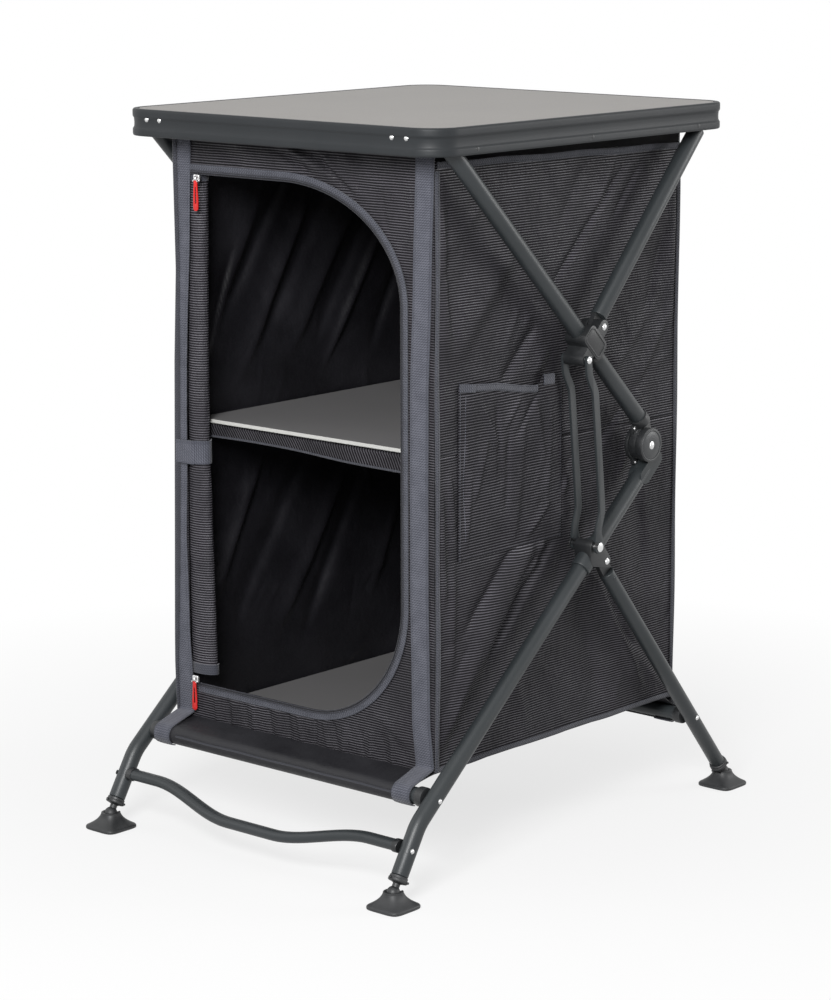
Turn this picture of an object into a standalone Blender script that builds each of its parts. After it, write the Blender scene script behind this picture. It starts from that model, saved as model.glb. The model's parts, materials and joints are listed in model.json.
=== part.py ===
# Folding camping cupboard: a table top on two crossed side frames with a zipped fabric cabinet between them.
# The door faces -Y, the width runs along X, and the floor is z = 0. All sizes are in metres and degrees.

from math import asin, atan2, cos, degrees, pi, radians, sin

import bmesh
import bpy
from mathutils import Vector

for old in list(bpy.data.objects):
    bpy.data.objects.remove(old, do_unlink=True)

# Table top
top_width = 0.541
top_depth = 0.600
top_height = 0.950
top_corner = 0.042
rim_height = 0.0347
rim_wall = 0.0035
rim_waist = 0.0018
rim_lip = 0.0085
rim_ledge_width = 0.018
rim_ledge = 0.002
rim_bottom_lip = 0.0060
panel_thickness = 0.008
panel_recess = 0.0005

# Side frames: places below or inside the table top, tube sections, and leg angles above the horizontal
frame_inset = 0.0195
tube_radius = 0.011
tube_wall = 0.0013
rear_leg_radius = 0.0095
front_leg_angle = 40.0
shin_angle = 58.7
rear_leg_angle = 50.6
front_pivot_inset = 0.042
front_pivot_drop = 0.0235
rear_tube_inset = 0.0541
knee_y = 0.1345
knee_drop = 0.4393
upper_knee_offset = 0.0205
lower_knee_offset = 0.0295
front_pivot_overrun = 0.004
upper_hub_distance = 0.3785
rear_tube_pivot_offset = 0.0255
strut_pivot_offset = 0.027
strut_pivot_advance = 0.0015
lower_hub_distance = 0.159
rear_leg_pivot_offset = 0.021
strut_stud_offset = 0.0142
strut_stud_advance = 0.0047
leg_bend_height = 0.096
leg_bend_radius = 0.060
ball_height = 0.020

# Hinge fittings
pin_radius = 0.004
small_pin_radius = 0.003
hub_inner_reach = 0.015
hub_outer_reach = 0.018
collar_radius = 0.014
collar_half_length = 0.022
hub_ear_radius = 0.009
ear_inset = 0.0006
tongue_half_height = 0.008
tongue_thickness = 0.007
rear_tube_start = 0.014
rear_leg_start = 0.024
knee_lug_radius = 0.020
knee_lug_thickness = 0.011
knee_disc_radius = 0.0225
knee_disc_reach = 0.0165
knee_rivet_radius = 0.007
knee_rivet_height = 0.0012
knee_neck = 0.022
knee_slot_radius = 0.0245
leg_tube_start = 0.017
leg_socket_length = 0.034
lower_collar_front = 0.036
lower_collar_back = 0.012
lower_hub_reach = 0.0145
strut_thickness = 0.0035
strut_half_width = 0.0055
strut_hook_radius = 0.0085
strut_jog = 0.0105
strut_jog_start = 0.022
strut_jog_end = 0.050
stud_radius = 0.0035
stud_head_radius = 0.006
stud_head = 0.0015

# Cross bars
fabric_bar_radius = 0.0105
front_bar_height = 0.1211
rear_bar_height = 0.1145
rear_bar_radius = 0.0095
brace_radius = 0.00875
brace_height = 0.0705
brace_advance = 0.0035
brace_bow = 0.0186
brace_dip = 0.0223
brace_middle = 0.040
brace_run_out = 0.188

# Feet
ball_radius = 0.0088
ball_clearance = 0.0004
foot_half_side = 0.027
foot_height = 0.022
foot_rim = 0.0035
foot_neck_radius = 0.0128
stud_neck_radius = 0.0048
stud_collar_radius = 0.0125
stud_collar_start = 0.0140
leg_end_gap = 0.022
stud_plug_length = 0.014

# Fabric cabinet
cabinet_side_gap = 0.029
cabinet_inset = 0.052
cabinet_lift = 0.0192
cabinet_front_drop = 0.045
cabinet_rear_drop = 0.053
fabric = 0.0016
fold_depth = 0.0045
zip_margin = 0.0295
opening_margin = 0.013
door_right_margin = 0.0423
door_bottom_margin = 0.0352
door_top_drop = 0.0715
door_top_radius = 0.190
door_bottom_radius = 0.170
zip_band = 0.012
zip_tape_thickness = 0.0014
webbing_width = 0.0285
webbing_thickness = 0.0014
roll_half_width_top = 0.0140
roll_half_width_bottom = 0.0195
roll_depth = 0.0115
roll_margin = 0.029
roll_lift = 0.0245
roll_strap_height = 0.031
roll_strap_z = 0.503
pocket_rear = 0.0
pocket_front = -0.204
pocket_bottom = 0.405
pocket_top = 0.615
pocket_depth = 0.0055
pocket_edge = 0.006

# Boards
shelf_height = 0.541
board_thickness = 0.005
board_side_gap = 0.008
board_front_gap = 0.0265
board_rear_gap = 0.008
sling_lip = 0.0165

# Zip sliders and pulls
upper_slider_margin = 0.044
lower_slider_margin = 0.027
slider_width = 0.012
slider_height = 0.010
slider_depth = 0.0036
pull_width = 0.0085
pull_length = 0.0395
pull_thickness = 0.0016
pull_cheek = 0.001

# Clearances and mesh steps
seat_gap = 0.0003
running_gap = 0.0003
round_steps = 16
arc_steps = 8

finishes = {
    "anthracite tube": ((0.052, 0.068, 0.071), 0.42, 0.35),
    "anthracite rim": ((0.058, 0.066, 0.070), 0.45, 0.30),
    "pale panel": ((0.36, 0.34, 0.31), 0.55, 0.0),
    "black plastic": ((0.017, 0.018, 0.019), 0.50, 0.0),
    "bright rivet": ((0.62, 0.62, 0.62), 0.30, 0.9),
    "ribbed fabric": ((0.045, 0.043, 0.050), 0.85, 0.0),
    "lining fabric": ((0.013, 0.013, 0.016), 0.80, 0.0),
    "grey webbing": ((0.145, 0.150, 0.175), 0.85, 0.0),
    "grey board": ((0.085, 0.083, 0.086), 0.60, 0.0),
    "red cord": ((0.62, 0.02, 0.02), 0.55, 0.0),
}


def make_material(name):
    colour, roughness, metallic = finishes[name]
    material = bpy.data.materials.new(name)
    material.use_nodes = True
    shader = material.node_tree.nodes["Principled BSDF"]
    shader.inputs["Base Color"].default_value = (*colour, 1.0)
    shader.inputs["Roughness"].default_value = roughness
    shader.inputs["Metallic"].default_value = metallic
    material.diffuse_color = (*colour, 1.0)
    return material


# Side-plane geometry: a point there is (Y, Z), and angles are counted from +Y towards +Z
def heading(angle):
    return Vector((cos(radians(angle)), sin(radians(angle))))


def left_of(direction):
    return Vector((-direction.y, direction.x))


def in_space(x, point):
    return Vector((x, point.x, point.y))


rim_bottom = top_height - rim_height
rear_tube_top = rim_bottom - running_gap - 0.0007
knee = Vector((knee_y, top_height - knee_drop))
front_pivot = Vector((front_pivot_inset - top_depth / 2, top_height - front_pivot_drop))
to_knee = knee - front_pivot
upper_front_angle = degrees(atan2(to_knee.y, to_knee.x) + asin(upper_knee_offset / to_knee.length))
upper_down = heading(upper_front_angle)
upper_normal = left_of(upper_down)
leg_down = heading(180.0 + front_leg_angle)
leg_normal = -left_of(leg_down)
rear_down = heading(-rear_leg_angle)
upper_knee_foot = knee + upper_normal * upper_knee_offset
leg_knee_foot = knee - leg_normal * lower_knee_offset
upper_hub = front_pivot + upper_down * upper_hub_distance
rear_tube_pivot = upper_hub + upper_normal * rear_tube_pivot_offset
rear_tube_end = Vector((top_depth / 2 - rear_tube_inset, rear_tube_top))
rear_up = (rear_tube_end - rear_tube_pivot).normalized()
strut_pivot = upper_hub - upper_normal * strut_pivot_offset + upper_down * strut_pivot_advance
lower_hub = leg_knee_foot + leg_down * lower_hub_distance
rear_leg_pivot = lower_hub - leg_normal * rear_leg_pivot_offset
strut_stud = lower_hub + leg_normal * strut_stud_offset + leg_down * strut_stud_advance


# Point on a sloping line at a given height
def at_height(start, direction, height):
    return start + direction * ((height - start.y) / direction.y)


shin_down = heading(180.0 + shin_angle)
leg_bend = at_height(leg_knee_foot, leg_down, leg_bend_height)
front_ball = at_height(leg_bend, shin_down, ball_height)
rear_ball = at_height(rear_leg_pivot, rear_down, ball_height)
front_bar = at_height(leg_knee_foot, leg_down, front_bar_height)
rear_bar = at_height(rear_leg_pivot, rear_down, rear_bar_height)
brace_end = at_height(leg_bend, shin_down, brace_height) - Vector((brace_advance, 0.0))

frame_offset = top_width / 2 - frame_inset
cabinet_half_width = frame_offset - cabinet_side_gap
cabinet_half_depth = top_depth / 2 - cabinet_inset
cabinet_bottom = front_bar_height + cabinet_lift
cabinet_top_front = top_height - cabinet_front_drop
cabinet_top_rear = top_height - cabinet_rear_drop
zip_left = zip_margin - cabinet_half_width
opening_left = opening_margin - cabinet_half_width
door_right = cabinet_half_width - door_right_margin
door_bottom = cabinet_bottom + door_bottom_margin
door_top = top_height - door_top_drop
roll_x = roll_margin - cabinet_half_width
roll_bottom = door_bottom + roll_lift
roll_top = door_top - zip_band
board_width = 2 * (cabinet_half_width - board_side_gap)
board_front = board_front_gap - cabinet_half_depth
board_rear = cabinet_half_depth - board_rear_gap
slider_x_top = upper_slider_margin - cabinet_half_width
slider_x_bottom = lower_slider_margin - cabinet_half_width

panel_top = top_height - panel_recess
panel_bottom = panel_top - panel_thickness
ledge_bottom = panel_bottom - seat_gap - rim_ledge
bar_reach = frame_offset - tube_radius - seat_gap
bore_radius = tube_radius + running_gap
pin_hole = pin_radius + running_gap
small_pin_hole = small_pin_radius + running_gap
tongue_slot = tongue_thickness / 2 + running_gap + 0.0001
strut_inner = -hub_inner_reach - 0.0014
strut_outer = hub_outer_reach + running_gap + 0.0001

sides = {"left": -1, "right": 1}


# One empty per moving body, on its joint's axis
def make_body(name, place):
    empty = bpy.data.objects.new(name + "_pivot", None)
    empty.location = place
    empty.empty_display_size = 0.02
    bpy.context.collection.objects.link(empty)
    return empty


def on_side(side, point):
    return in_space(side * frame_offset, point)


floor_board_place = Vector((0.0, 0.0, cabinet_bottom))
shelf_place = Vector((0.0, 0.0, shelf_height))
front_face = -cabinet_half_depth
tape_face = front_face - seat_gap - zip_tape_thickness
slider_z_top = door_top - zip_band - slider_height / 2
slider_z_bottom = door_bottom + zip_band + slider_height / 2
slider_back = tape_face - 2 * seat_gap
slider_front = slider_back - slider_depth
pull_pivot_y = slider_front - seat_gap - pull_thickness / 2
pull_pivot_drop = slider_height / 2 - pull_thickness

bodies = {
    "table_top": make_body("table_top", Vector((0.0, 0.0, 0.0))),
    "leg_frame": make_body("leg_frame", in_space(0.0, knee)),
    "rear_leg_frame": make_body("rear_leg_frame", in_space(0.0, rear_leg_pivot)),
    "shelf": make_body("shelf", shelf_place),
    "floor_board": make_body("floor_board", floor_board_place),
}
for side_name, side in sides.items():
    bodies["upper_frame_" + side_name] = make_body("upper_frame_" + side_name, on_side(side, front_pivot))
    bodies["rear_tube_" + side_name] = make_body("rear_tube_" + side_name, on_side(side, rear_tube_pivot))
    bodies["strut_" + side_name] = make_body("strut_" + side_name, on_side(side, strut_pivot))
    bodies["front_foot_" + side_name] = make_body("front_foot_" + side_name, on_side(side, front_ball))
    bodies["rear_foot_" + side_name] = make_body("rear_foot_" + side_name, on_side(side, rear_ball))
for level, x, z in (("upper", slider_x_top, slider_z_top), ("lower", slider_x_bottom, slider_z_bottom)):
    bodies[level + "_slider"] = make_body(level + "_slider", Vector((x, slider_back, z)))
    bodies[level + "_pull"] = make_body(level + "_pull", Vector((x, pull_pivot_y, z - pull_pivot_drop)))


def add_object(name, shape, body, smooth_angle):
    pivot = bodies[body].location
    bmesh.ops.translate(shape, vec=-pivot, verts=shape.verts)
    bmesh.ops.recalc_face_normals(shape, faces=shape.faces)
    mesh = bpy.data.meshes.new(name)
    shape.to_mesh(mesh)
    shape.free()
    if smooth_angle:
        mesh.shade_smooth()
        mesh.set_sharp_from_angle(angle=radians(smooth_angle))
    thing = bpy.data.objects.new(name, mesh)
    bpy.context.collection.objects.link(thing)
    thing.parent = bodies[body]
    return thing


# A sub-part: one closed body with its own material
def add_part(name, shape, body, finish, smooth_angle=35):
    thing = add_object(name, shape, body, smooth_angle)
    thing.data.materials.append(make_material(finish))
    return thing


# Cuts tool shapes out of a part, or welds them to it; the tools stay as hidden guides
def shape_with(thing, operation, *shapes):
    for number, shape in enumerate(shapes):
        tool = add_object(f"{thing.name}_{operation.lower()}_{number}", shape, thing.parent.name[:-len("_pivot")], 0)
        tool.hide_render = True
        tool.display_type = "WIRE"
        boolean = thing.modifiers.new(tool.name, "BOOLEAN")
        boolean.operation = operation
        boolean.solver = "EXACT"
        boolean.object = tool


# Solid between two copies of an outline; place(point, distance) puts an outline point in space
def extruded(outline, start, end, place):
    shape = bmesh.new()
    near = [shape.verts.new(place(point, start)) for point in outline]
    far = [shape.verts.new(place(point, end)) for point in outline]
    shape.faces.new(near)
    shape.faces.new(reversed(far))
    for index in range(len(outline)):
        following = (index + 1) % len(outline)
        shape.faces.new((near[following], near[index], far[index], far[following]))
    return shape


def side_plate(outline, start, end):
    return extruded(outline, start, end, lambda point, x: Vector((x, point.x, point.y)))


def front_plate(outline, start, end):
    return extruded(outline, start, end, lambda point, y: Vector((point.x, y, point.y)))


def flat_plate(outline, start, end):
    return extruded(outline, start, end, lambda point, z: Vector((point.x, point.y, z)))


def rectangle(low_a, high_a, low_b, high_b):
    return [Vector((low_a, low_b)), Vector((high_a, low_b)), Vector((high_a, high_b)), Vector((low_a, high_b))]


def arc_points(centre, radius, start, end, steps=arc_steps):
    angles = [start + (end - start) * step / steps for step in range(steps + 1)]
    return [centre + heading(angle) * radius for angle in angles]


# Convex outline around a set of circles, each (centre, radius)
def outline_around(circles, steps=24):
    points = [p for centre, radius in circles for p in arc_points(centre, radius, 0.0, 360.0, steps)[:-1]]
    points.sort(key=lambda p: (p.x, p.y))

    def chain(ordered):
        kept = []
        for p in ordered:
            while len(kept) > 1 and (kept[-1] - kept[-2]).cross(p - kept[-2]) <= 1e-10:
                kept.pop()
            kept.append(p)
        return kept[:-1]

    return chain(points) + chain(points[::-1])


# Path through corner points, each inner corner rounded to an arc of the given radius
def rounded_path(corners, radius, steps=arc_steps):
    path = [corners[0]]
    for before, corner, after in zip(corners, corners[1:], corners[2:]):
        inward, outward = (before - corner).normalized(), (after - corner).normalized()
        half_angle = inward.angle(outward) / 2
        bisector = (inward + outward).normalized()
        centre = corner + bisector * (radius / sin(half_angle))
        tangent = radius / sin(half_angle) * cos(half_angle)
        first, last = corner + inward * tangent - centre, corner + outward * tangent - centre
        for step in range(steps + 1):
            share = step / steps
            sweep = first.angle(last)
            arm = first * (sin((1 - share) * sweep) / sin(sweep)) + last * (sin(share * sweep) / sin(sweep))
            path.append(centre + arm)
    path.append(corners[-1])
    return path


# Tube along a path; half_width lies along the reference direction, and a wall of 0 makes it solid
def tube(path, half_width, half_height, wall, reference, steps=round_steps, flat_end=None):
    shape = bmesh.new()
    rings = []
    for index, point in enumerate(path):
        ahead = (path[min(index + 1, len(path) - 1)] - path[max(index - 1, 0)]).normalized()
        across = (reference - ahead * reference.dot(ahead)).normalized()
        upright = ahead.cross(across)
        for inset in ((0.0, wall) if wall else (0.0,)):
            ring = []
            for step in range(steps):
                turn = 2 * pi * (step + 0.5) / steps
                offset = across * ((half_width - inset) * cos(turn)) + upright * ((half_height - inset) * sin(turn))
                place = point + offset
                if flat_end is not None and index == len(path) - 1:
                    place = place + ahead * ((flat_end - place.z) / ahead.z)
                ring.append(shape.verts.new(place))
            rings.append(ring)
    layers = 2 if wall else 1
    for layer in range(layers):
        for lower, upper in zip(rings[layer::layers], rings[layer + layers::layers]):
            bridge(shape, lower, upper)
    if wall:
        bridge(shape, rings[0], rings[1])
        bridge(shape, rings[-2], rings[-1])
    else:
        shape.faces.new(rings[0])
        shape.faces.new(rings[-1])
    return shape


def bridge(shape, lower, upper):
    count = len(lower)
    for step in range(count):
        following = (step + 1) % count
        shape.faces.new((lower[step], lower[following], upper[following], upper[step]))


def straight_tube(start, end, radius, wall=0.0, reference=Vector((1.0, 0.0, 0.0)), steps=round_steps):
    return tube([start, end], radius, radius, wall, reference, steps)


def cross_pin(x_start, x_end, point, radius, steps=round_steps):
    return straight_tube(in_space(x_start, point), in_space(x_end, point), radius,
                         reference=Vector((0.0, 0.0, 1.0)), steps=steps)


# Turned solid: profile points are (radius, distance) along an axis from a base point
def turned(profile, base, axis, steps=round_steps):
    shape = bmesh.new()
    across = axis.orthogonal().normalized()
    upright = axis.cross(across)
    rings = []
    for radius, distance in profile:
        centre = base + axis * distance
        if radius == 0.0:
            rings.append([shape.verts.new(centre)])
            continue
        angles = [2 * pi * step / steps for step in range(steps)]
        rings.append([shape.verts.new(centre + (across * cos(a) + upright * sin(a)) * radius) for a in angles])
    for lower, upper in zip(rings, rings[1:]):
        if len(lower) == 1 or len(upper) == 1:
            tip, ring = (lower[0], upper) if len(lower) == 1 else (upper[0], lower)
            for step in range(steps):
                shape.faces.new((tip, ring[step], ring[(step + 1) % steps]))
        else:
            bridge(shape, lower, upper)
    return shape


# Mirrors an X range to the left side
def x_range(side, inner, outer):
    return sorted((side * (frame_offset + inner), side * (frame_offset + outer)))


def slot_box(side, half_thickness, corners):
    return side_plate(corners, *x_range(side, -half_thickness, half_thickness))


def local_rectangle(origin, along, normal, low_u, high_u, low_v, high_v):
    return [origin + along * p.x + normal * p.y for p in rectangle(low_u, high_u, low_v, high_v)]


# Rounded rectangle round the table top as (point, outward direction) pairs
def table_outline(steps=7):
    pairs = []
    for sign_x, sign_y, start in ((1, 1, 0.0), (-1, 1, 90.0), (-1, -1, 180.0), (1, -1, 270.0)):
        centre = Vector((sign_x * (top_width / 2 - top_corner), sign_y * (top_depth / 2 - top_corner)))
        for step in range(steps + 1):
            outward = heading(start + 90.0 * step / steps)
            pairs.append((centre + outward * top_corner, outward))
    return pairs


def add_table_top():
    panel_edge = rim_lip + seat_gap
    outline = [point - outward * panel_edge for point, outward in table_outline()]
    add_part("top_panel", flat_plate(outline, panel_bottom, panel_top), "table_top", "pale panel", 30)

    crown, ridge_low, ridge_high = 0.0015, 0.0085, 0.0245
    ledge_top = panel_bottom - seat_gap - rim_bottom
    profile = [
        (-0.0008, 0.0), (0.0, 0.0025), (0.0, ridge_low), (-rim_waist, ridge_low + 0.003),
        (-rim_waist, ridge_high - 0.003), (0.0, ridge_high), (0.0, rim_height - 0.0022), (-crown, rim_height),
        (-rim_lip, rim_height), (-rim_lip, ledge_top), (-rim_ledge_width, ledge_top),
        (-rim_ledge_width, ledge_top - rim_ledge), (-rim_wall, ledge_top - rim_ledge), (-rim_wall, rim_ledge),
        (-rim_bottom_lip, rim_ledge), (-rim_bottom_lip, 0.0),
    ]
    shape = bmesh.new()
    rings = []
    for point, outward in table_outline():
        places = [point + outward * out for out, _ in profile]
        rings.append([shape.verts.new((p.x, p.y, rim_bottom + up)) for p, (_, up) in zip(places, profile)])
    for ring, following in zip(rings, rings[1:] + rings[:1]):
        bridge(shape, ring, following)
    add_part("top_rim", shape, "table_top", "anthracite rim", 25)


# Plates riveted behind the front rim that hold the front tubes' pivot pins
def add_front_pivot_bracket(side_name, side):
    plate = 0.0035
    plate_reach = 0.025
    front = -top_depth / 2 + rim_wall + seat_gap
    arm_x = frame_offset - tube_radius - 2 * seat_gap
    plate_end = top_width / 2 - top_corner
    arm_front = front + 0.0035
    arm_rear = front_pivot.x + 0.011
    plate_start = arm_x - 2 * plate_reach
    outline = [(plate_start, front), (plate_end, front), (arm_x, arm_front), (arm_x, arm_rear),
               (arm_x - plate, arm_rear), (arm_x - plate, arm_front + plate), (plate_start, front + plate)]
    outline = [Vector((side * x, y)) for x, y in outline]
    bracket = add_part("front_pivot_bracket_" + side_name,
                       flat_plate(outline, front_pivot.y - 0.0085, ledge_bottom - seat_gap), "table_top", "black plastic")
    head_start = tube_radius + seat_gap
    shape_with(bracket, "UNION",
               cross_pin(side * (arm_x - plate / 2), side * (frame_offset + head_start + 0.001), front_pivot, pin_radius),
               cross_pin(side * (frame_offset + head_start), side * (frame_offset + head_start + 0.0015),
                         front_pivot, pin_radius + 0.002))


# Blocks under the rear rim that the rear tubes' upper ends push against
def add_rear_rest_bracket(side_name, side):
    outer_x = top_width / 2 - rim_bottom_lip - 0.0018
    x_low, x_high = sorted((side * (frame_offset - tube_radius), side * outer_x))
    outline = rectangle(x_low, x_high, rear_tube_end.x - 0.0165, rear_tube_end.x + 0.0205)
    add_part("rear_rest_bracket_" + side_name,
             flat_plate(outline, rim_bottom + seat_gap, ledge_bottom - seat_gap), "table_top", "black plastic")


def add_upper_frame(side_name, side):
    body = "upper_frame_" + side_name
    start = front_pivot - upper_down * front_pivot_overrun
    end = upper_knee_foot - upper_down * knee_neck
    front_tube = add_part("upper_front_tube_" + side_name,
                          straight_tube(on_side(side, start), on_side(side, end), tube_radius, tube_wall),
                          body, "anthracite tube")
    x_low, x_high = x_range(side, -2 * tube_radius, 2 * tube_radius)
    shape_with(front_tube, "DIFFERENCE", cross_pin(x_low, x_high, front_pivot, pin_hole))

    corner = 0.0035
    reach_v = collar_radius - corner
    reach_u = collar_half_length - corner
    circles = [(upper_hub + upper_down * u + upper_normal * v, corner)
               for u in (-reach_u, reach_u) for v in (-reach_v, reach_v)]
    hub = add_part("upper_hub_" + side_name,
                   side_plate(outline_around(circles), *x_range(side, -hub_inner_reach, hub_outer_reach)),
                   body, "black plastic")
    ears = outline_around([(rear_tube_pivot, hub_ear_radius), (strut_pivot, hub_ear_radius - 0.0005)])
    shape_with(hub, "UNION", side_plate(ears, *x_range(side, ear_inset - hub_inner_reach, hub_outer_reach - ear_inset)))
    far = collar_half_length + 0.02
    slot = local_rectangle(upper_hub, upper_down, upper_normal, -far, far, bore_radius + 0.0005, 0.06)
    shape_with(hub, "DIFFERENCE",
               straight_tube(on_side(side, upper_hub - upper_down * far), on_side(side, upper_hub + upper_down * far),
                             bore_radius),
               slot_box(side, tongue_slot, slot),
               cross_pin(x_low, x_high, strut_pivot, pin_hole))
    pin_low, pin_high = x_range(side, -hub_inner_reach + 0.002, hub_outer_reach - 0.002)
    shape_with(hub, "UNION", cross_pin(pin_low, pin_high, rear_tube_pivot, small_pin_radius, 12))

    edge = 0.001
    neck_u = -knee_neck + seat_gap + edge
    circles = [(knee, knee_lug_radius)]
    circles += [(upper_knee_foot + upper_down * neck_u + upper_normal * v, edge)
                for v in (-tube_radius + edge, tube_radius - edge)]
    lug = add_part("knee_inner_disc_" + side_name,
                   side_plate(outline_around(circles), *x_range(side, -knee_lug_thickness / 2, knee_lug_thickness / 2)),
                   body, "black plastic")
    shank = local_rectangle(upper_knee_foot, upper_down, upper_normal, -2 * knee_neck, -knee_neck / 2, -0.006, 0.006)
    shape_with(lug, "UNION", slot_box(side, knee_lug_thickness / 2 - 0.0005, shank))
    shape_with(lug, "DIFFERENCE", cross_pin(x_low, x_high, knee, pin_hole))


# Flat tongue that fits a tube's end and turns between a hub's ears
def add_tongue(name, side, body, pivot, direction, start, tube_half, shank_half):
    normal = left_of(direction)
    edge = 0.001
    reach = start - seat_gap - edge
    circles = [(pivot, tongue_half_height)]
    circles += [(pivot + direction * reach + normal * v, edge)
                for v in (-tube_half + edge, tube_half - edge)]
    tongue = add_part(name, side_plate(outline_around(circles), *x_range(side, -tongue_thickness / 2, tongue_thickness / 2)),
                      body, "black plastic")
    shank = local_rectangle(pivot, direction, normal, start / 2, start + 0.02, -shank_half, shank_half)
    shape_with(tongue, "UNION", slot_box(side, tongue_thickness / 2 - 0.0005, shank))
    x_low, x_high = x_range(side, -2 * tube_radius, 2 * tube_radius)
    shape_with(tongue, "DIFFERENCE", cross_pin(x_low, x_high, pivot, small_pin_hole, 12))


def add_rear_tube(side_name, side):
    body = "rear_tube_" + side_name
    start = rear_tube_pivot + rear_up * rear_tube_start
    path = [on_side(side, start), on_side(side, rear_tube_end)]
    add_part("upper_rear_tube_" + side_name,
             tube(path, tube_radius, tube_radius, tube_wall, Vector((1.0, 0.0, 0.0)), flat_end=rear_tube_top),
             body, "anthracite tube")
    add_tongue("rear_tube_tongue_" + side_name, side, body, rear_tube_pivot, rear_up, rear_tube_start,
               tube_radius, 0.0055)


def add_leg(side_name, side):
    start = leg_knee_foot + leg_down * leg_tube_start
    corners = [start, leg_bend, front_ball - shin_down * leg_end_gap]
    path = [on_side(side, point) for point in rounded_path(corners, leg_bend_radius)]
    add_part("front_leg_" + side_name,
             tube(path, tube_radius, tube_radius, tube_wall, Vector((1.0, 0.0, 0.0))), "leg_frame", "anthracite tube")

    socket_end = leg_knee_foot + leg_down * (leg_socket_length - knee_rivet_radius)
    outline = outline_around([(knee, knee_disc_radius), (socket_end, collar_radius)])
    fork = add_part("knee_outer_disc_" + side_name,
                    side_plate(outline, *x_range(side, -hub_inner_reach, knee_disc_reach)), "leg_frame", "black plastic")
    slot_half = knee_lug_thickness / 2 + 2 * running_gap
    far_end = leg_knee_foot + leg_down * 0.09
    shape_with(fork, "DIFFERENCE",
               cross_pin(*x_range(side, -slot_half, slot_half), knee, knee_slot_radius, 32),
               straight_tube(on_side(side, leg_knee_foot + leg_down * (leg_tube_start - seat_gap)),
                             on_side(side, far_end), bore_radius))
    shape_with(fork, "UNION",
               cross_pin(*x_range(side, -hub_inner_reach + 0.002, knee_disc_reach - 0.002), knee, pin_radius),
               cross_pin(*x_range(side, knee_disc_reach - 0.001, knee_disc_reach + knee_rivet_height), knee,
                         knee_rivet_radius))


def add_lower_hub(side_name, side):
    corner = 0.0035
    reach_v = collar_radius - corner
    circles = [(lower_hub + leg_down * u + leg_normal * v, corner)
               for u in (corner - lower_collar_back, lower_collar_front - corner) for v in (-reach_v, reach_v)]
    hub = add_part("lower_hub_" + side_name,
                   side_plate(outline_around(circles), *x_range(side, -lower_hub_reach, lower_hub_reach)),
                   "leg_frame", "black plastic")
    ears = outline_around([(rear_leg_pivot, hub_ear_radius - 0.0005), (strut_stud, hub_ear_radius - 0.001)])
    shape_with(hub, "UNION", side_plate(ears, *x_range(side, ear_inset - lower_hub_reach, lower_hub_reach - ear_inset)))
    far = lower_collar_front + 0.02
    slot = local_rectangle(lower_hub, leg_down, leg_normal, -far, far, -0.06, -bore_radius - 0.0005)
    shape_with(hub, "DIFFERENCE",
               straight_tube(on_side(side, lower_hub - leg_down * far), on_side(side, lower_hub + leg_down * far),
                             bore_radius),
               slot_box(side, tongue_slot, slot))
    head_start = strut_outer + strut_thickness + running_gap
    shape_with(hub, "UNION",
               cross_pin(*x_range(side, -lower_hub_reach + 0.002, lower_hub_reach - 0.002), rear_leg_pivot,
                         small_pin_radius, 12),
               cross_pin(*x_range(side, strut_inner - strut_thickness - 0.001, -lower_hub_reach + 0.002), strut_stud,
                         stud_radius),
               cross_pin(*x_range(side, lower_hub_reach - 0.002, head_start + stud_head / 2), strut_stud, stud_radius),
               cross_pin(*x_range(side, head_start, head_start + stud_head), strut_stud, stud_head_radius))


def add_rear_leg(side_name, side):
    start = rear_leg_pivot + rear_down * rear_leg_start
    end = rear_ball - rear_down * leg_end_gap
    path = [on_side(side, start), on_side(side, end)]
    add_part("rear_leg_" + side_name,
             tube(path, tube_radius, rear_leg_radius, tube_wall, Vector((1.0, 0.0, 0.0))),
             "rear_leg_frame", "anthracite tube")
    add_tongue("rear_leg_tongue_" + side_name, side, "rear_leg_frame", rear_leg_pivot, rear_down, rear_leg_start,
               rear_leg_radius, 0.005)


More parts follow.
